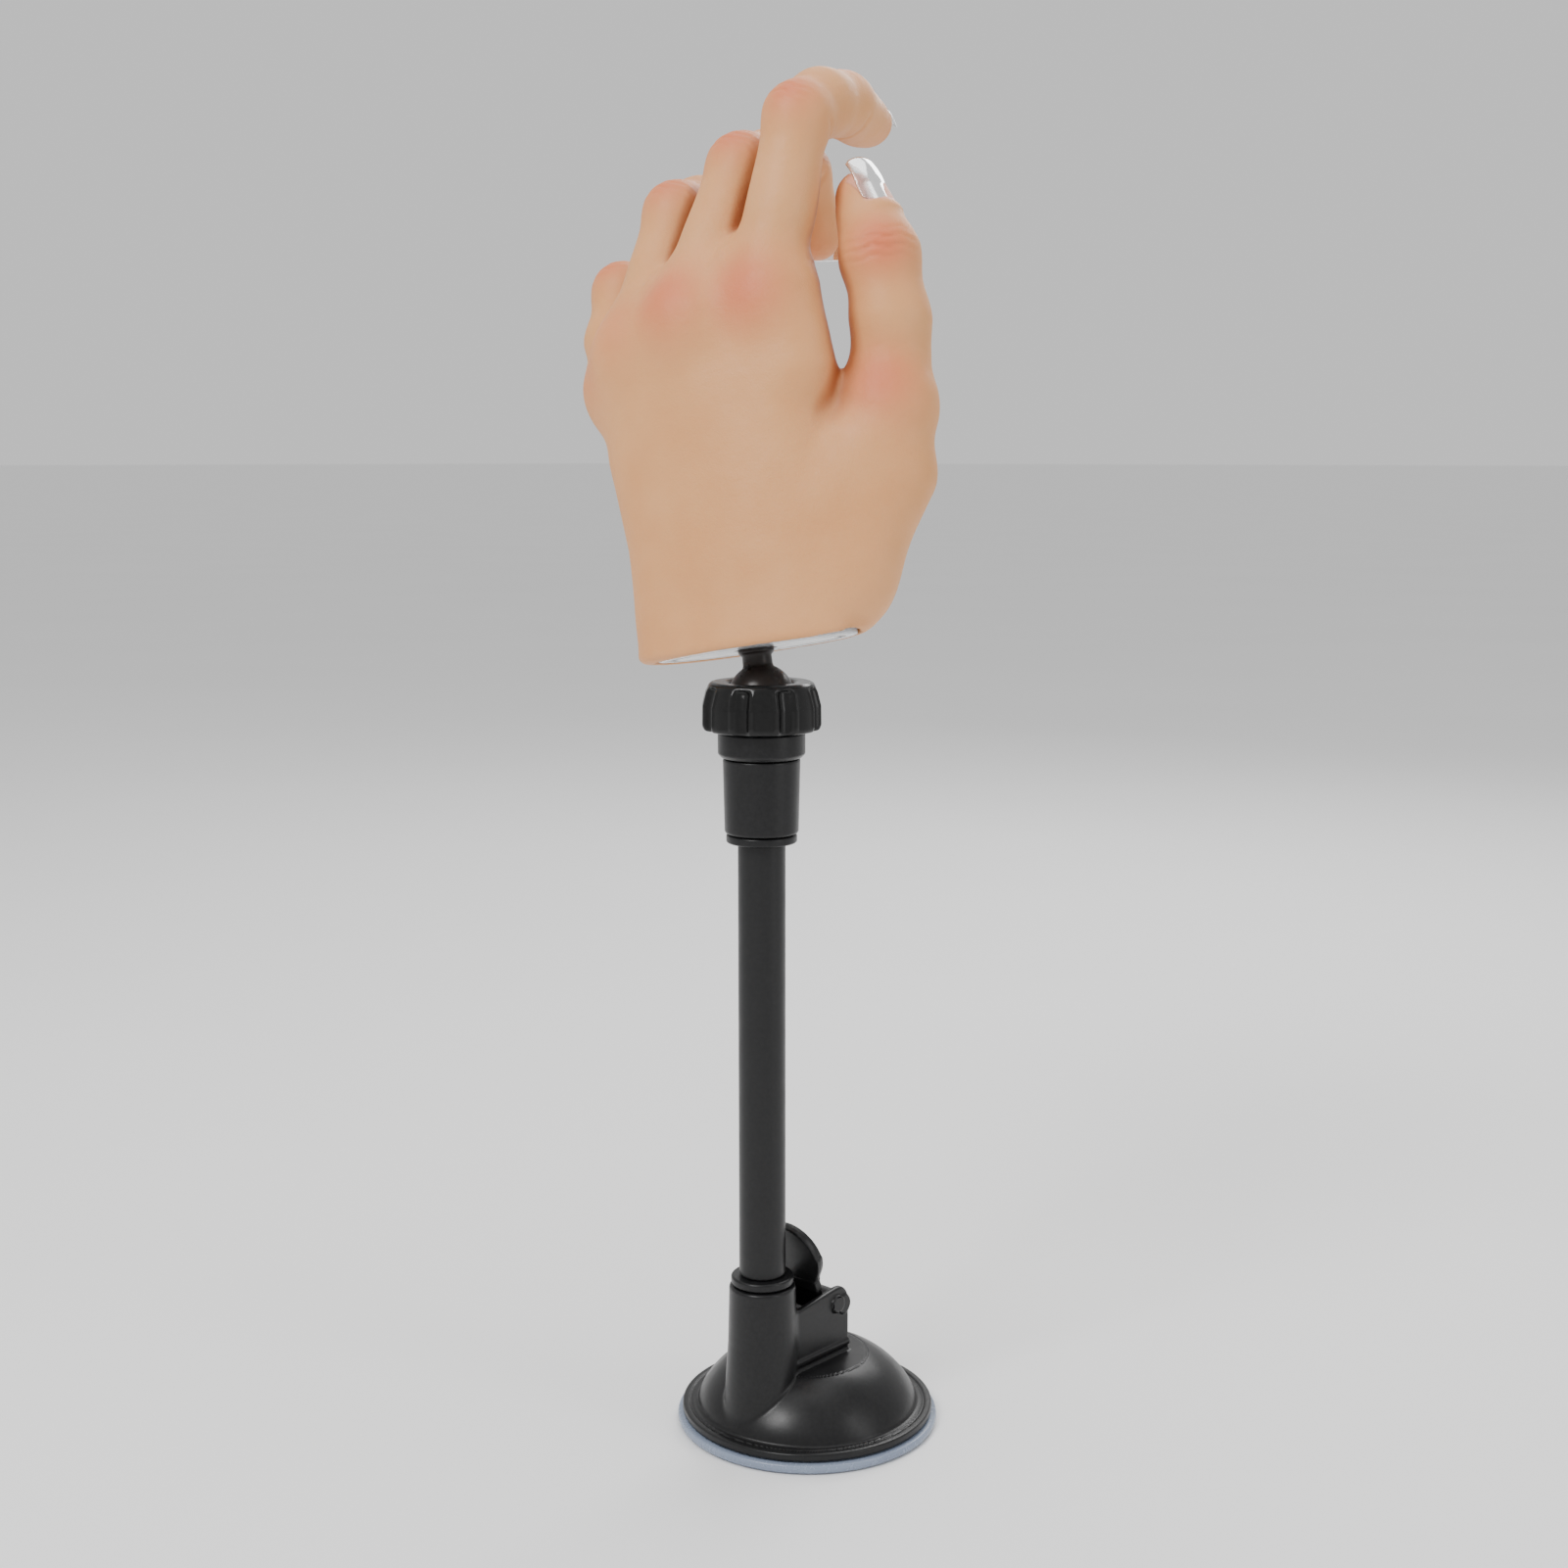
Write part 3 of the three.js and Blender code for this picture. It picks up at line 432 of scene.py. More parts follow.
def palm_shapes():
    shapes = [palm_loft()]
    index, thumb = HAND_FINGERS["index"], HAND_FINGERS["thumb"]
    roots = [("index", (9, -1.5, 22)), ("middle", (0, -2, 22)), ("ring", (-9, -1.5, 22)),
             ("little", (-16, 0, 20))]
    for name, root in roots:
        r = FINGERS[name]["radii"][0]
        aside, less = (4.4, 2.2) if name == "little" else (0, 1.2)
        knuckle = HAND_FINGERS[name].at(0, aside, 0.6, 0)
        shapes.append(cone(root, knuckle, r - 1, r - less, 12.0))
    # beside the index knuckle, the ball of the thumb, the heel of the palm, and the thumb's web
    shapes.append(cone(index.at(0, 6.6, 1.0, 2), index.at(0, 13.0, 2.0, -16), 7.6, 8.4, 6.0))
    shapes.append(cone((20.0, 8.5, 20), thumb.at(0, -0.8, 0, -6), 12.0, 9.1, 10.0))
    shapes.append(cone((25.5, 6, 26), thumb.at(0, -0.8, 0, -8), 7.4, 7.2, 12.0))
    shapes.append(blob(np.array([27.0, 5, 14]), (11, 9, 12.5), np.eye(3), 5.0))
    shapes.append(cone((25.6, 4, 13), thumb.at(0, -0.4, 0, -22), 9.6, 9.0, 7.0))
    shapes.append(cone((-18, 4, 12), (-23.5, 3, 50), 9.5, 8.2, 10.0))
    shapes.append(cone((21, 2, 32), thumb.at(0, -6, 1, -12), 8.0, 6.0, 8.0))
    row = [HAND_FINGERS[name] for name in ("index", "middle", "ring", "little")]
    for a, b in zip(row, row[1:]):
        web = 4.5 if b.name == "little" else 8.5
        shapes.append(cone(a.at(0, -3, 2.5, web), b.at(0, 3, 2.5, web), 4.6, 4.4, 5.0))
        shapes.append(cone(a.at(0, 0, 3.5, -3), b.at(0, 0, 3.5, -3), 7.6, 7.2, 10.0))
    return shapes


def joined(palm, fingers):
    """The whole hand's field from the palm's and the fingers', with a fillet at each root."""
    apart = None
    for one in fingers.values():
        apart = one if apart is None else smooth_min(apart, one, 2.0)
    least = np.minimum(palm, apart)
    total = least
    for name, one in fingers.items():
        k = THUMB_FILLET if name == "thumb" else FILLET
        near = np.maximum(k - np.abs(palm - one), 0) / k
        there = np.clip(1 - (np.minimum(palm, one) - least) / k, 0, 1)
        total = total - near**2 * there**2 * k / 4
    return total


class Flesh:
    """The hand's flesh as fields in its own frame."""

    def __init__(self):
        self.palm_shapes = palm_shapes()
        self.finger_shapes = {name: finger.shapes() for name, finger in HAND_FINGERS.items()}

    def palm(self, p):
        return merged(self.palm_shapes, p)

    def finger(self, name, p):
        return merged(self.finger_shapes[name], p) + HAND_FINGERS[name].creases(p)

    def whole(self, p):
        return joined(self.palm(p), {name: self.finger(name, p) for name in FINGERS})


FLESH = Flesh()


def clipped(g, p):
    """The flesh cut off at the wrist, with the clear plate's seat let into it."""
    g = smooth_max(g, WRIST_EDGE - p[..., 2], 2.4)
    a, b, h = PLATE
    seat = (np.hypot(p[..., 0] / (a + 0.6), p[..., 1] / (b + 0.6)) - 1) * b
    seat = np.maximum(seat, p[..., 2] - h - 0.2)
    return smooth_max(g, -seat, 0.7)


# ---- pieces


class Piece:
    """A mesh object made from points and faces in millimetres in the CAD frame."""

    def __init__(self, name, points, faces, normals=None, attributes=None):
        mesh = bpy.data.meshes.new(name)
        places = [tuple(q) for q in (np.asarray(points) * MM).tolist()]
        mesh.from_pydata(places, [], [tuple(f) for f in faces])
        mesh.polygons.foreach_set("use_smooth", [True] * len(mesh.polygons))
        for key, values in (attributes or {}).items():
            values = np.asarray(values, float)
            kind = "FLOAT_VECTOR" if values.ndim == 2 else "FLOAT"
            layer = mesh.attributes.new(key, kind, "POINT")
            layer.data.foreach_set("vector" if values.ndim == 2 else "value", values.ravel())
        if normals is not None:
            mesh.normals_split_custom_set_from_vertices([tuple(n) for n in normals.tolist()])
        mesh.update()
        self.object = bpy.data.objects.new(name, mesh)
        bpy.context.scene.collection.objects.link(self.object)

    def wears(self, material, slot, *nodes):
        self.object.data.materials.append(material)
        if nodes:
            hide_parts(*nodes)
        return self.object


def meshed(field, low, high, step, rounds=1, h=0.1):
    """Points, faces and normals of a field in millimetres."""
    axes = lattice(low, high, step)
    grid = np.stack(np.meshgrid(*axes, indexing="ij"), -1)
    points, faces = surface_nets(field(grid), axes)
    points, normals = settled(field, points, rounds, h)
    return points, faces, normals


def lathed(profile, sides=96, centre=(0, 0), axes=None, origin=(0, 0, 0)):
    """A turned shape; profile holds radii and heights, from the axis to the axis or as a ring."""
    closed = profile[0][0] > 1e-6
    rings = [p for p in profile if p[0] > 1e-6]
    points, faces = [], []
    for r, z in rings:
        for i in range(sides):
            a = 2 * math.pi * i / sides
            points.append((centre[0] + r * math.cos(a), centre[1] + r * math.sin(a), z))
    n = len(rings)
    for j in range(n if closed else n - 1):
        k = (j + 1) % n
        for i in range(sides):
            m = (i + 1) % sides
            faces.append((j * sides + i, j * sides + m, k * sides + m, k * sides + i))
    if not closed:
        for ring, (r, z), flip in ((0, profile[0], True), (n - 1, profile[-1], False)):
            points.append((centre[0], centre[1], z))
            tip = len(points) - 1
            for i in range(sides):
                a, b = ring * sides + i, ring * sides + (i + 1) % sides
                faces.append((tip, b, a) if flip else (tip, a, b))
    outline = np.array(rings, float)
    edge = np.diff(np.concatenate([outline, outline[:1]]), axis=0)
    face = np.stack([edge[:, 1], -edge[:, 0]], 1)
    if not closed:
        face[-1] = 0
    slope = face + np.roll(face, 1, 0)
    slope /= np.maximum(np.linalg.norm(slope, axis=1, keepdims=True), 1e-9)
    a = 2 * math.pi * np.arange(sides) / sides
    level, rise = slope[:, :1], np.repeat(slope[:, 1:], sides, 1)
    normals = np.stack([level * np.cos(a), level * np.sin(a), rise], -1).reshape(-1, 3)
    if not closed:
        normals = np.concatenate([normals, [[0, 0, -1]], [[0, 0, 1]]])
    points = np.array(points)
    if axes is not None:
        points = points @ np.asarray(axes).T + origin
        normals = normals @ np.asarray(axes).T
    return points, faces, normals


def softened(corners, size=0.35, steps=3):
    """A profile with each of its corners rounded."""
    result = []
    n = len(corners)
    for i, corner in enumerate(corners):
        c = np.array(corner, float)
        if corner[0] < 1e-6:
            result.append(tuple(c))
            continue
        a = np.array(corners[i - 1], float)
        b = np.array(corners[(i + 1) % n], float)
        la, lb = np.linalg.norm(a - c), np.linalg.norm(b - c)
        s = min(size, la * 0.45, lb * 0.45)
        start, end = c + (a - c) * s / la, c + (b - c) * s / lb
        for t in np.linspace(0, 1, steps + 1):
            result.append(tuple((1 - t) ** 2 * start + 2 * t * (1 - t) * c + t * t * end))
    return result


# ---- materials


class Look:
    """A node material under construction."""

    def __init__(self, name):
        self.material = bpy.data.materials.new(name)
        self.material.use_nodes = True
        self.nodes = self.material.node_tree.nodes
        self.links = self.material.node_tree.links
        self.shader = self.nodes["Principled BSDF"]

    def node(self, kind, **values):
        node = self.nodes.new(kind)
        for key, value in values.items():
            setattr(node, key, value)
        return node

    def link(self, source, target):
        self.links.new(source, target)

    def set(self, **values):
        for key, value in values.items():
            self.shader.inputs[key.replace("_", " ")].default_value = value

    def attribute(self, name, output="Fac"):
        return self.node("ShaderNodeAttribute", attribute_name=name).outputs[output]

    def place(self):
        return self.node("ShaderNodeTexCoord").outputs["Object"]

    def noise(self, place, scale, detail=3.0, roughness=0.55):
        node = self.node("ShaderNodeTexNoise")
        node.inputs["Scale"].default_value = scale
        node.inputs["Detail"].default_value = detail
        node.inputs["Roughness"].default_value = roughness
        self.link(place, node.inputs["Vector"])
        return node.outputs["Fac"]

    def ranged(self, value, low, high, out_low, out_high):
        node = self.node("ShaderNodeMapRange")
        self.link(value, node.inputs["Value"])
        keys = ("From Min", "From Max", "To Min", "To Max")
        for key, number in zip(keys, (low, high, out_low, out_high)):
            node.inputs[key].default_value = number
        return node.outputs["Result"]

    def mixed(self, factor, a, b):
        node = self.node("ShaderNodeMix", data_type="RGBA")
        for socket, value in ((node.inputs[0], factor), (node.inputs[6], a), (node.inputs[7], b)):
            if isinstance(value, tuple):
                socket.default_value = (*value, 1)
            else:
                self.link(value, socket)
        return node.outputs[2]

    def bump(self, height, distance, strength=1.0, under=None):
        node = self.node("ShaderNodeBump")
        node.inputs["Strength"].default_value = strength
        node.inputs["Distance"].default_value = distance
        self.link(height, node.inputs["Height"])
        if under is not None:
            self.link(under, node.inputs["Normal"])
        return node.outputs["Normal"]

    def done(self, color=None, roughness=None, normal=None):
        for key, value in (("Base Color", color), ("Roughness", roughness), ("Normal", normal)):
            if value is not None:
                self.link(value, self.shader.inputs[key])
        return self.material


def skin_look():
    look = Look("silicone_skin")
    rest = look.attribute("rest", "Vector")
    tone = look.ranged(look.noise(rest, 0.05, 2.0), 0.3, 0.7, 0, 1)
    color = look.mixed(tone, (0.66, 0.30, 0.112), (0.71, 0.345, 0.143))
    color = look.mixed(look.attribute("red"), color, (0.66, 0.135, 0.055))
    # painted shade: the skin turns dark orange brown in its creases and between the fingers, where
    # shade falls
    color = look.mixed(look.attribute("painted_shade"), color, (0.30, 0.075, 0.02))
    color = look.mixed(look.attribute("bed"), color, (0.76, 0.36, 0.25))
    fleck = look.ranged(look.noise(rest, 1.6, 2.0, 0.6), 0.66, 0.74, 0, 0.35)
    color = look.mixed(fleck, color, (0.52, 0.26, 0.13))
    pores = look.noise(rest, 2.4, 3.0, 0.6)
    fine = look.bump(pores, 0.00016, 0.55)
    broad = look.bump(look.noise(rest, 0.42, 3.0, 0.55), 0.0005, 0.35, fine)
    rough = look.ranged(look.noise(rest, 0.3, 3.0), 0.3, 0.7, 0.46, 0.58)
    look.set(Subsurface_Weight=0.12, Subsurface_Radius=(0.6, 0.25, 0.12))
    look.set(Subsurface_Scale=0.002, IOR=1.42)
    return look.done(color, rough, broad)


def plastic_look(name, dark, light, rough, grain=0.00004, gloss=0.5):
    look = Look(name)
    place = look.place()
    mottle = look.ranged(look.noise(place, 900.0, 3.0, 0.6), 0.3, 0.7, 0, 1)
    color = look.mixed(mottle, dark, light)
    roughness = look.ranged(look.noise(place, 160.0, 4.0), 0.3, 0.7, rough[0], rough[1])
    normal = look.bump(look.noise(place, 3200.0, 2.0, 0.5), grain, gloss)
    look.set(IOR=1.5, Specular_IOR_Level=0.28)
    return look.done(color, roughness, normal)


def gel_look():
    look = Look("gel")
    place = look.place()
    cloud = look.ranged(look.noise(place, 40.0, 1.0), 0.3, 0.7, 0, 1)
    color = look.mixed(cloud, (0.27, 0.32, 0.43), (0.31, 0.37, 0.48))
    rough = look.ranged(look.noise(place, 700.0, 2.0), 0.3, 0.7, 0.2, 0.3)
    look.set(Transmission_Weight=0.25, IOR=1.41)
    return look.done(color, rough, look.bump(look.noise(place, 600.0, 2.0), 0.00001, 0.15))


def clear_look(name, tint, rough, through):
    look = Look(name)
    place = look.place()
    cloud = look.ranged(look.noise(place, 300.0, 2.0), 0.3, 0.7, 0, 1)
    color = look.mixed(cloud, tint, tuple(min(1, c * 1.04) for c in tint))
    roughness = look.ranged(look.noise(place, 500.0, 2.0), 0.3, 0.7, rough, rough + 0.05)
    look.set(Transmission_Weight=through, IOR=1.46)
    return look.done(color, roughness, look.bump(look.noise(place, 900.0, 2.0), 0.00002, 0.25))


def metal_look(name, tone, rough, metallic):
    look = Look(name)
    place = look.place()
    cloud = look.ranged(look.noise(place, 800.0, 3.0), 0.3, 0.7, 0, 1)
    color = look.mixed(cloud, tone, tuple(c * 0.85 for c in tone))
    look.set(Metallic=metallic)
    return look.done(color, look.ranged(cloud, 0, 1, rough, rough + 0.1))


SKIN = skin_look()
STAND = plastic_look("satin_plastic", (0.006, 0.006, 0.0065), (0.010, 0.010, 0.0105), (0.28, 0.38))
CLAMP = plastic_look("glossy_plastic", (0.004, 0.004, 0.004), (0.007, 0.007, 0.007),
                     (0.17, 0.26), 0.00002)
BALL = plastic_look("ball_plastic", (0.010, 0.007, 0.006), (0.015, 0.010, 0.008), (0.25, 0.33))
SHEATH = plastic_look("arm_rubber", (0.008, 0.008, 0.0085), (0.011, 0.011, 0.0115),
                      (0.34, 0.42), 0.00003, 0.4)
GEL = gel_look()
CLEAR = clear_look("clear_plate", (0.90, 0.92, 0.94), 0.1, 0.6)
NAIL = clear_look("clear_nail", (0.97, 0.94, 0.93), 0.08, 0.93)
BONE = metal_look("skeleton", (0.30, 0.28, 0.24), 0.45, 0.0)
STEEL = metal_look("steel", (0.55, 0.55, 0.56), 0.28, 1.0)

# ---- the hand's skin

RED_SPOTS = {  # strength and reach at each joint, from the knuckle on
    "index": ((0.8, 10), (0.8, 8), (0.35, 6)),
    "middle": ((0.75, 10), (0.75, 8), (0.4, 6)),
    "ring": ((0.4, 9), (0.7, 8), (0.4, 6)),
    "little": ((0.4, 9), (0.65, 7), (0.4, 6)),
    "thumb": ((0.8, 9), (0.85, 8)),
}


def spot(p, centre, strength, reach):
    return strength * np.exp(-((np.linalg.norm(p - centre, axis=1) / reach) ** 2))


def redness(p):
    total = np.zeros(len(p))
    for name, finger in HAND_FINGERS.items():
        for i, (strength, reach) in enumerate(RED_SPOTS[name]):
            way = finger.ways[i] if i == 0 else unit(finger.ways[i - 1] + finger.ways[i])
            centre = finger.places[i] + unit(np.cross(finger.across, way)) * 8
            if finger.thumb and i == 0:
                centre = centre - finger.across * 3
            total = np.maximum(total, spot(p, centre, strength, reach))
        (origin, axes), length = finger.bones[-1]
        total = np.maximum(total, spot(p, origin + axes[:, 2] * (length + 2), 0.4, 7))
    return total


def nail_beds(p):
    total = np.zeros(len(p))
    for finger in HAND_FINGERS.values():
        origin, axes = finger.nail_frame
        start = finger.nail_start()
        q = (p - origin) @ axes
        inside = ramp(finger.nail[0] / 2 - np.abs(q[:, 0]), -0.3, 0.7)
        inside = inside * ramp(q[:, 2], start, start + 1)
        middle = [0, 0, finger.bones[-1][1] * 0.7]
        near = np.linalg.norm(q - middle, axis=1) < 14
        total = np.maximum(total, inside * (q[:, 1] < 0) * near)
    return total


def owners(points):
    """The piece each point belongs to: 0 for the palm, or 10 times a finger plus its part."""
    palm = FLESH.palm(points)
    names = list(FINGERS)
    fields = np.stack([FLESH.finger(name, points) for name in names])
    nearest = fields.argmin(0)
    owner = np.zeros(len(points), int)
    for number, name in enumerate(names, 1):
        finger = HAND_FINGERS[name]
        mine = (nearest == number - 1) & (fields[number - 1] < palm)
        mine &= (points - finger.places[0]) @ finger.ways[0] > 0
        part = np.full(len(points), 1)
        for i, (place, way, low) in enumerate(finger.cuts, 2):
            part[(points - place) @ way > low] = i
        owner[mine] = number * 10 + part[mine]
    return owner


def skin_points():
    step = GRID
    axes = lattice(*HAND_BOX, step)
    fingers = {name: on_lattice(shapes, axes) for name, shapes in FLESH.finger_shapes.items()}
    grid = np.stack(np.meshgrid(*axes, indexing="ij"), -1)
    g = clipped(joined(on_lattice(FLESH.palm_shapes, axes), fingers), grid)
    points, faces = surface_nets(g, axes)

    def whole(p):
        return clipped(FLESH.whole(p), p)

    points, normals = settled(whole, points, 3, 0.15)
    # painted shade: how closed in each point is, read from the field a little way out along its
    # normal
    shade = np.zeros(len(points))
    for depth, weight in ((3.0, 0.4), (8.0, 0.6)):
        shade += weight * np.clip(1 - whole(points + normals * depth) / depth, 0, 1)
    return points, faces, normals, shade


def used(faces, keep):
    """The kept faces' points by number, and the faces in terms of those points."""
    faces = faces[keep]
    numbers, flat = np.unique(faces, return_inverse=True)
    return numbers, flat.reshape(faces.shape)


def sheathed(name, points, faces, normals, values):
    attributes = {"rest": points, **values}
    return Piece(name, HAND.outside(points), faces, HAND.way(normals), attributes)


def hidden(field, low, high, keep):
    """A coarse layer just under the skin, which shows only where a joint opens."""
    points, faces, normals = meshed(field, low, high, LAYER_GRID, 1, 0.25)
    numbers, local = used(faces, keep(points[faces].mean(1)))
    return points[numbers], local, normals[numbers]


def joined_meshes(parts):
    points, faces, normals = zip(*parts)
    starts = np.cumsum([0] + [len(p) for p in points])
    faces = [f + start for f, start in zip(faces, starts)]
    return np.concatenate(points), np.concatenate(faces), np.concatenate(normals)


def build_skin():
    points, faces, normals, shade = skin_points()
    owner = owners(points[faces].mean(1))
    # painted shade from the closed-in measure, darkening the skin in creases and between the
    # fingers
    painted_shade = np.clip((shade - 0.40) * 1.8, 0, 0.9)
    looks = {"red": redness(points), "painted_shade": painted_shade, "bed": nail_beds(points)}

    def cut_out(keep, extra=()):
        numbers, local = used(faces, keep)
        p, f, n = joined_meshes([(points[numbers], local, normals[numbers]), *extra])
        more = len(p) - len(numbers)
        values = {key: np.concatenate([v[numbers], np.zeros(more)]) for key, v in looks.items()}
        return p, f, n, values

    def under_palm(c):
        best = np.min([FLESH.finger(name, c) for name in FINGERS], 0)
        return (best < FLESH.palm(c) + 2.5) & (c[:, 2] > 20)

    low, high = (-50, -24, 20), (60, 45, 100)
    core = hidden(lambda p: FLESH.palm(p) + LAYER_GAP, low, high, under_palm)
    p, f, n, values = cut_out(owner == 0, [core])
    palm = sheathed("palm_flesh", p, f, n, values).wears(SKIN, "skin", "palm_skin")
    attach(palm, "palm")

    for number, (name, finger) in enumerate(HAND_FINGERS.items(), 1):
        root = finger.places[0]
        reach = finger.radii[0] + 4

        dome = -float(FLESH.whole(root[None])[0]) - DOME_GAP

        def inside(c, finger=finger, root=root):
            return (c - root) @ finger.ways[0] < np.linalg.norm(finger.places[1] - root) * 0.5

        def knuckle(q, name=name, root=root, dome=dome):
            under = FLESH.finger(name, q) + LAYER_GAP
            return smooth_min(under, np.linalg.norm(q - root, axis=-1) - dome, 0.8)

        peg = hidden(knuckle, root - reach - 8, root + reach + 14, inside)
        masks = {part: owner == number * 10 + part for part in range(1, len(finger.cuts) + 2)}
        corners = {part: set(np.unique(faces[mask]).tolist()) for part, mask in masks.items()}
        labels = ["root", "tip"] if finger.thumb else ["root", "bend", "tip"]
        skins = [f"{name}_{part}_skin" for part in finger.parts]
        for part, label in enumerate(labels, 1):
            p, f, n, values = cut_out(masks[part], [peg] if part == 1 else ())
            piece = sheathed(f"{name}_{label}_flesh", p, f, n, values)
            piece = piece.wears(SKIN, "skin", skins[part - 1])
            if part == 1:
                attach(piece, f"{name}_proximal")
                continue
            place, way = finger.places[part - 1], finger.turns[part - 2]
            before = points[sorted(corners[part - 1] & corners[part])]
            low = ((before - place) @ way).max() + 0.1
            high = BLEND_REACH
            if part < len(labels):
                after = points[sorted(corners[part] & corners[part + 1])]
                high = min(high + 2, ((after - place) @ way).min() - 0.1)
            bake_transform(piece)


def rounded_end(u, depth, power):
    """How far the end of a nail falls back at u, from -1 to 1 across it."""
    return depth * (1 - np.sqrt(1 - np.abs(u) ** power))


def build_nail(finger):
    origin, axes = finger.nail_frame
    length = finger.bones[-1][1]
    width, past = finger.nail
    before, last = finger.radii[-2:]
    start = finger.nail_start() - 0.4
    end = length + last + past - (1.5 if finger.thumb else 1.2)
    arc = last * 1.08
    across, along, thick = 18, 30, 0.45
    u = np.linspace(-1, 1, across + 1)
    v = np.linspace(0, 1, along + 1)[:, None]
    trim, tip = rounded_end(u, 2.6, 2.2), rounded_end(u, 1.8, 2.4)
    z = start + trim + (end - tip - start - trim) * v
    x = u * width / 2 + 0 * z
    t = np.clip(z / length, 0, 1)
    flesh = (before * 0.97 * (1 - t) + last * t) * 0.96
    drop = 0.028 * np.maximum(z - length, 0) ** 2
    y = -(flesh + 0.05 - drop) + arc - np.sqrt(arc**2 - x * x * 0.97)
    outer = np.stack([x, y, z], -1)
    inner = outer + np.array([0, thick, 0]) * np.linspace(0.6, 1, along + 1)[:, None, None]
    inner[:, 0] = outer[:, 0] * 0.3 + inner[:, 0] * 0.7
    points = np.concatenate([outer.reshape(-1, 3), inner.reshape(-1, 3)])
    w = across + 1
    count = w * (along + 1)
    faces = []
    for j in range(along):
        for i in range(across):
            a = j * w + i
            faces.append((a, a + w, a + w + 1, a + 1))
            faces.append((count + a, count + a + 1, count + a + w + 1, count + a + w))
    for j in range(along):
        a, b = j * w, j * w + across
        faces.append((a, count + a, count + a + w, a + w))
        faces.append((b, b + w, count + b + w, count + b))
    for i in range(across):
        a, b = i, along * w + i
        faces.append((a, a + 1, count + a + 1, count + a))
        faces.append((b, count + b, count + b + 1, b + 1))
    piece = Piece(f"{finger.name}_nail_tip", HAND.outside(origin + points @ axes.T), faces)
    nail = piece.wears(NAIL, "clear_plastic", f"{finger.name}_nail")
    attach(nail, f"{finger.name}_distal")


def build_plate():
    """The clear plate that closes the wrist, with the way in for the stud."""
    a, b, h = PLATE

    def field(p):
        oval = (np.hypot(p[..., 0] / a, p[..., 1] / b) - 1) * b
        plate = smooth_max(oval, np.abs(p[..., 2] - (h - 1.5) / 2) - (h + 1.5) / 2, 0.7)
        step = np.abs(np.hypot(p[..., 0] / (a - 4), p[..., 1] / (b - 4)) - 1) * (b - 4) - 0.35
        plate = smooth_max(plate, -np.maximum(step, p[..., 2] + 1.0), 0.3)
        hole = np.hypot(p[..., 0], p[..., 1]) - 5.2
        return smooth_max(plate, -np.maximum(hole, p[..., 2] - 0.05), 0.4)

    points, faces, normals = meshed(field, (-30, -15.5, -2.6), (30, 15.5, 4.2), 0.6, 2)
    piece = Piece("wrist_window", HAND.outside(points), faces, HAND.way(normals))
    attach(piece.wears(CLEAR, "clear_plastic", "wrist_plate"), "palm")


build_plate()
build_skin()
for each in HAND_FINGERS.values():
    build_nail(each)

# ---- the stand

TOWER_X = -17.9
PIVOT = (3.5, 32.4)  # the lever's pin, by x and z
LEVER_LEAN = 22  # degrees
PIN_RADIUS = 1.85
BALL_RADIUS = 8.5
ARM_RADIUS = 6.1
ARM_WALL = 0.9
ARM_BENDS = (64, 87, 110, 133)
ARM_CUTS = (45.7, 75.5, 98.5, 121.5, 160.6)


def housing(p):
    x, y, z = p[..., 0], p[..., 1], p[..., 2]
    r, side = np.hypot(x, y), np.abs(y)
    # the dome on its flange, with a groove in each
    out, up = np.maximum(r - 16, 0) / 13.7, np.maximum(z - 4.8, 0) / 13.2
    bell = ((out**1.45 + up**1.45) ** (1 / 1.45) - 1) * 11
    flange = smooth_max(r - 33.8, np.abs(z - 3.65) - 1.15, 0.7)
    flange = smooth_max(flange, -(np.hypot(r - 31.6, z - 4.9) - 0.35), 0.2)
    body = smooth_max(smooth_min(bell, flange, 0.7), 2.5 - z, 0.3)
    body = smooth_max(body, -(np.hypot(r - 16.4, z - 18.05) - 0.28), 0.2)
    # the tower, which leans forward at its foot
    t = np.clip((z - 6) / 36.8, 0, 1)
    forward = 1.3 * np.clip((27 - z) / 21, 0, 1)
    tower = smooth_max(np.hypot(x - TOWER_X + forward, y) - (9.6 - 0.85 * t), z - 42.8, 1.0)
    body = smooth_min(body, np.maximum(tower, 4 - z), 0.7)
    # the cheeks with their ledge and bosses
    top = z - (37 - np.clip(5.5 - x, 0, 20) * 0.12)
    plate = smooth_max(smooth_max(x - 8.6, top, 5.5), 12 - z, 0.3)
    plate = smooth_max(plate, TOWER_X - x, 0.3)
    body = smooth_min(body, smooth_max(plate, np.abs(side - 6.5) - 1.0, 0.8), 0.9)
    ledge = smooth_max(x - 8.9, np.abs(z - 20.3) - 0.8, 0.5)
    ledge = smooth_max(ledge, np.abs(side - 6.8) - 1.1, 0.5)
    body = smooth_min(body, np.maximum(ledge, TOWER_X - x), 0.4)
    boss = smooth_max(np.hypot(x - 6.4, z - 31.5) - 2.6, np.abs(side - 6.9) - 1.0, 0.5)
    body = smooth_min(body, boss, 0.5)
    # the hollow under the dome, the arm's bore, and the pin's hole, capped at one side
    body = np.maximum(body, -(bell + 2.4))
    bore = np.hypot(x - TOWER_X, y) - 4.4
    body = smooth_max(body, -np.maximum(bore, 20 - z), 0.3)
    about_pin = np.hypot(x - PIVOT[0], z - PIVOT[1])
    cap = smooth_max(about_pin - 2.5, np.abs(side - 7.4) - 0.95, 0.6)
    hole = np.maximum(about_pin - PIN_RADIUS, side - np.where(y > 0, 11.15, 8.15))
    return smooth_max(smooth_min(body, cap, 0.3), -hole, 0.3)


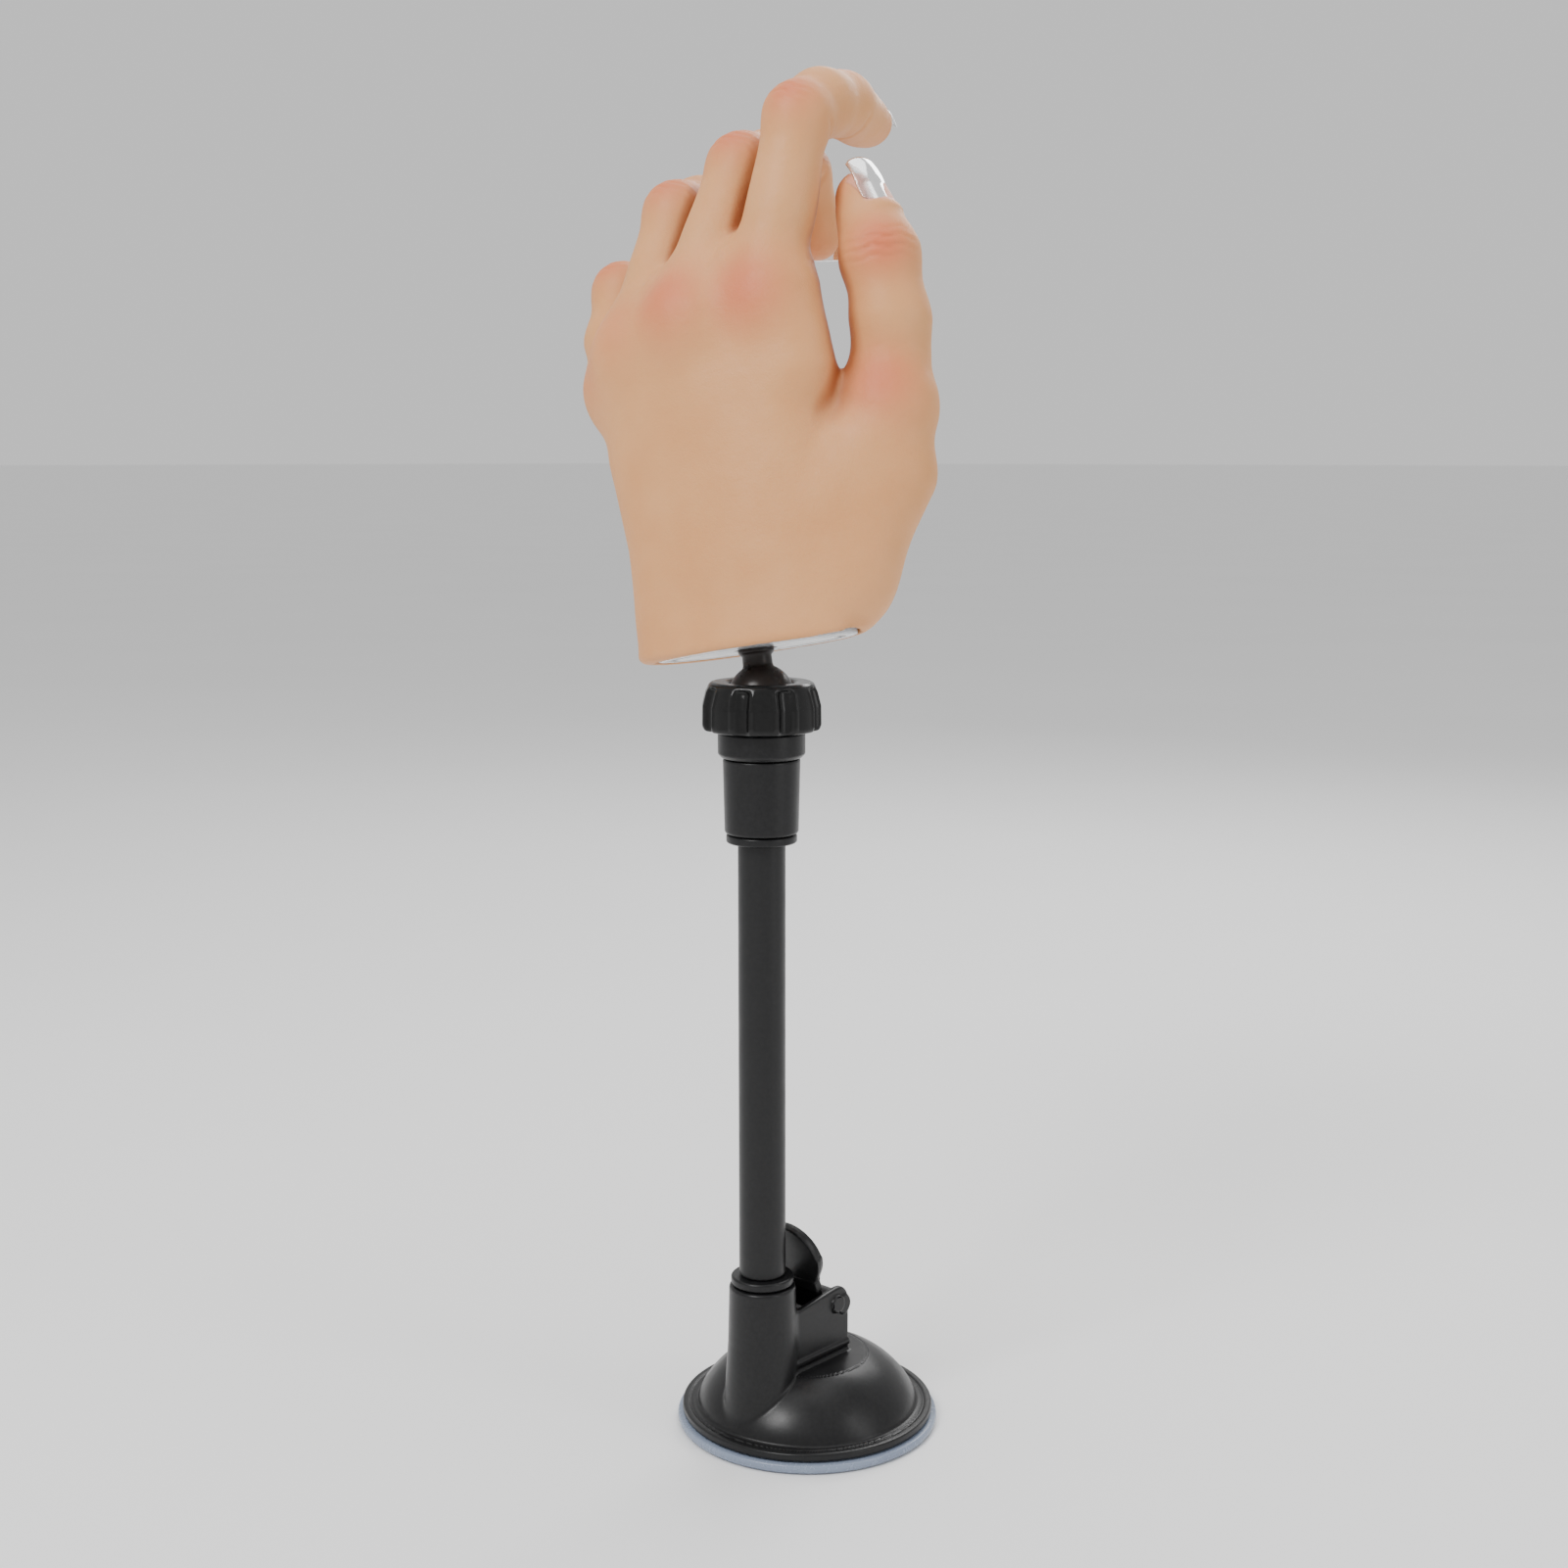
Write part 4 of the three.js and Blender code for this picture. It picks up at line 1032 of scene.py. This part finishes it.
def lever_field(p):
    """The lever in its own frame: x through it, y across it and z along it from the pivot."""
    x, y, z = p[..., 0], p[..., 1], p[..., 2]
    disc = np.hypot(y, z - 17.6) - 8.8
    half = np.clip(5.15 + (z - 8.4) * 0.42, 5.15, 8.8)
    neck = np.maximum(np.abs(y) - half, np.maximum(6 - z, z - 17.6))
    outline = smooth_min(disc, neck, 1.0)
    plate = smooth_max(outline, np.abs(x + 2.85) - 0.75, 0.5)
    rim = smooth_max(outline, np.abs(x + 1.8) - 0.75, 0.5)
    rim = smooth_max(rim, -(outline + 1.5), 0.5)
    body = smooth_min(plate, rim, 0.4)
    for height in (12.5, 15.5, 18.5, 21.5):
        bar = np.maximum(np.abs(z - height) - 0.5, np.abs(x + 2.0) - 0.55)
        body = smooth_min(body, smooth_max(np.abs(y) - 5.4, bar, 0.4), 0.3)
    hub = np.maximum(np.abs(y) - 5.15, np.hypot(x, z) - 3.55)
    web = np.maximum(np.abs(y) - 5.15, np.abs(x + 2.6) - 1.0 + (z - 3) * 0.02)
    web = np.maximum(web, np.abs(z - 4.5) - 4.5)
    body = smooth_min(body, smooth_min(hub, web, 1.2), 0.8)
    return smooth_max(body, -(np.hypot(x, z) - PIN_RADIUS), 0.3)


def nut_field(p):
    x, y, z = p[..., 0], p[..., 1], p[..., 2]
    r, angle = np.hypot(x, y), np.arctan2(y, x)
    outer = np.interp(z, [189.7, 196, 199, 202], [15.05, 14.95, 14.2, 13.2])
    # the grooves between the eight lobes, and a low ridge beside each
    sector = math.pi / 4
    off = (angle + sector / 2) % sector - sector / 2
    aside = (sector / 2 - np.abs(off)) * r
    groove = smooth_max(np.hypot(aside, r - outer - 0.9) - 2.2, z - 200.8, 1.0)
    ridge = 0.25 * bump(aside - 2.9, 0.45) * ramp(z, 190.4, 191.4) * (1 - ramp(z, 199.5, 201))
    outside = smooth_max(r - outer - ridge, np.abs(z - 195.85) - 6.15, 1.3)
    body = smooth_max(outside, -groove, 0.6)
    # the way through for the sleeve and the ball, and the dish round the ball
    throat = np.interp(z, [189, 197.1, 197.6, 199, 202.3], [11.5, 11.5, 9.2, 9.0, 7.7])
    body = smooth_max(body, -smooth_max(r - throat, 189 - z, 0.1), 0.5)
    return smooth_max(body, -(np.hypot(r, z - 211.0) - 12.6), 0.8)


def arm_axis():
    low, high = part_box("head_ring")
    return ((low[0] + high[0]) / 2 / MM, (low[1] + high[1]) / 2 / MM)


def build_stand():
    fine = 0.5
    low, high = (-34.8, -34.8, 1.6), (34.8, 34.8, 43.8)
    points, faces, normals = meshed(housing, low, high, fine, 2)
    piece = Piece("base_shell", points, faces, normals)
    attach(piece.wears(STAND, "stand_plastic", "base_housing"), "base")

    low, high = (-4.6, -9.9, -4.4), (4.2, 9.9, 29)
    points, faces, normals = meshed(lever_field, low, high, fine * 0.8, 2)
    lean = math.radians(LEVER_LEAN)  # towards the tower
    c, s = math.cos(lean), math.sin(lean)
    axes = np.array([[c, 0, -s], [0, 1, 0], [s, 0, c]])
    pivot = np.array([PIVOT[0], 0, PIVOT[1]])
    piece = Piece("release_lever", points @ axes.T + pivot, faces, normals @ axes.T)
    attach(piece.wears(STAND, "stand_plastic", "lever"), "lever")

    low, high = (-16.2, -16.2, 188.6), (16.2, 16.2, 203)
    points, faces, normals = meshed(nut_field, low, high, fine * 0.8, 2)
    piece = Piece("grip_nut", points + [*arm_axis(), 0], faces, normals)
    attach(piece.wears(CLAMP, "clamp_plastic", "lock_nut"), "lock_nut")


def build_turned():
    foot, tower, head = (0, 0), (TOWER_X, 0), arm_axis()
    turned = [  # name, body, CAD node, axis, softness, profile of radii and heights
        ("pad_disc", "base", "gel_pad", foot, 0.4,
         [(0, 0.05), (34.9, 0.05), (35.2, 1.1), (34.9, 2.2), (0, 2.2)]),
        ("arm_foot_ring", "base", "base_collar", tower, 0.25,
         [(4.35, 43.1), (7.9, 43.1), (8.25, 43.6), (8.25, 45.0), (7.9, 45.4), (4.35, 45.4)]),
        ("arm_top_ring", "head", "head_ring", tower, 0.25,
         [(4.5, 160.9), (8.75, 160.9), (9.05, 161.2), (9.05, 162.7), (8.75, 163.0), (4.5, 163.0)]),
        ("clamp_sleeve", "head", "head_sleeve", head, 0.3,
         [(5.0, 163.3), (9.1, 163.3), (9.44, 163.8), (9.84, 182.0), (9.6, 182.4), (5.0, 182.4)]),
        ("clamp_band", "head", "head_band", head, 0.3,
         [(8.7, 182.7), (10.2, 182.7), (11.1, 183.7), (11.1, 188.9), (10.7, 189.4), (8.7, 189.4)]),
    ]
    for name, body, node, centre, soft, profile in turned:
        points, faces, normals = lathed(softened(profile, soft), 120, centre)
        look, slot = (GEL, "gel") if node == "gel_pad" else (STAND, "stand_plastic")
        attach(Piece(name, points, faces, normals).wears(look, slot, node), body)


def build_arm():
    cx, cy = arm_axis()
    r, last = ARM_RADIUS, len(ARM_BENDS) - 1
    for i, bend in enumerate(ARM_BENDS):
        z0, z1 = ARM_CUTS[i], ARM_CUTS[i + 1]
        count = int((z1 - z0) / 0.8)
        profile = [(r, z0 + (z1 - z0) * k / count) for k in range(count + 1)]
        if i == 0:
            profile = [(r - 0.5, z0)] + [(r, z0 + 0.5)] + profile[2:]
        if i == last:
            profile = profile[:-2] + [(r, z1 - 0.5), (r - 0.5, z1)]
        inner = [(r - ARM_WALL, z) for _, z in reversed(profile)]
        points, faces, _ = lathed(profile + inner, 72, (cx, cy))
        normals = (points - [cx, cy, 0]) * [1, 1, 0]
        normals /= np.linalg.norm(normals, axis=1, keepdims=True)
        nodes = [f"arm_sheath_{i}"] + (["arm_sheath_4"] if i == last else [])
        piece = Piece(f"arm_skin_{i}", points, faces, normals).wears(SHEATH, "arm_sheath", *nodes)
        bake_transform(piece)


def build_stud():
    """The ball with its neck, and the flared foot of the neck under the plate."""
    outline = [(0, -BALL_RADIUS)]
    for k in range(1, 22):
        a = math.radians(-90 + k * (152 / 21))
        outline.append((BALL_RADIUS * math.cos(a), BALL_RADIUS * math.sin(a)))
    outline += [(3.8, 8.2), (3.75, 10.4), (4.5, 11.1), (4.6, 11.6), (4.6, 13.0), (4.3, 13.3)]
    outline.append((0, 13.3))
    ball = HAND.origin - HAND.axes[:, 2] * STUD_LENGTH
    points, faces, normals = lathed(outline, 96, (0, 0), HAND.axes, ball)
    piece = Piece("stud", points, faces, normals).wears(BALL, "clamp_plastic", "ball_stud")
    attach(piece, "ball_stud")


build_stand()
build_turned()
build_arm()
build_stud()

BLACK_NODES = ("lever_pin", "plunger", "seat_liner", "thread_ring")
BLACK_STARTS = ("arm_core", "arm_sheath", "base", "head", "lock")
for name, node in frame["nodes"].items():
    look = BONE
    if name == "wrist_plate":
        look = CLEAR
    elif name == "release_spring":
        look = STEEL
    elif name in BLACK_NODES or name.startswith(BLACK_STARTS):
        look = STAND
    for slot in node.material_slots:
        slot.material = look

# ---- room, light and camera


FLOOR_HALF, FLOOR_Z = 60000, -0.4
corners = ((-1, -1), (1, -1), (1, 1), (-1, 1))
corners = [(x * FLOOR_HALF, y * FLOOR_HALF, FLOOR_Z) for x, y in corners]
floor = Piece("floor", corners, [(0, 1, 2, 3)]).object
floor_look = Look("pale_floor")
cloud = floor_look.ranged(floor_look.noise(floor_look.place(), 3.0), 0.3, 0.7, 0, 1)
pale = floor_look.mixed(cloud, (0.86, 0.86, 0.86), (0.88, 0.88, 0.88))
floor.data.materials.append(floor_look.done(pale, floor_look.ranged(cloud, 0, 1, 0.6, 0.65)))

EYE = Vector((-0.4060, -0.3571, 0.2578))
AHEAD = Vector((0.7343, 0.6612, -0.1537)).normalized()
SIDE = AHEAD.cross(Vector((0, 0, 1))).normalized()
UP = SIDE.cross(AHEAD)


def softbox(name, where, size, power):
    data = bpy.data.lights.new(name, "AREA")
    data.shape = "RECTANGLE"
    data.size, data.size_y = size
    data.energy = power
    lamp = bpy.data.objects.new(name, data)
    bpy.context.scene.collection.objects.link(lamp)
    middle = Vector((0, 0, 0.18))
    lamp.location = middle + SIDE * where[0] + UP * where[1] - AHEAD * where[2]
    lamp.rotation_euler = (middle - lamp.location).to_track_quat("-Z", "Y").to_euler()


softbox("key", (-0.55, 0.65, 0.75), (0.4, 0.4), 9.0)
softbox("fill", (0.9, 0.25, 0.6), (0.3, 0.9), 2.5)
softbox("back", (0.35, 0.75, -0.7), (0.7, 0.5), 6.0)
softbox("top", (0.0, 1.1, 0.1), (0.9, 0.9), 4.0)

world = bpy.data.worlds.new("studio")
world.use_nodes = True
bpy.context.scene.world = world
background = world.node_tree.nodes["Background"]
background.inputs["Color"].default_value = (1, 1, 1, 1)
background.inputs["Strength"].default_value = 0.75

camera_data = bpy.data.cameras.new("camera")
camera_data.sensor_width = 36
camera_data.lens = 48.3
camera_data.clip_start = 0.01
camera = bpy.data.objects.new("camera", camera_data)
bpy.context.scene.collection.objects.link(camera)
camera.location = EYE
camera.rotation_mode = "QUATERNION"
camera.rotation_quaternion = AHEAD.to_track_quat("-Z", "Y")
bpy.context.scene.camera = camera
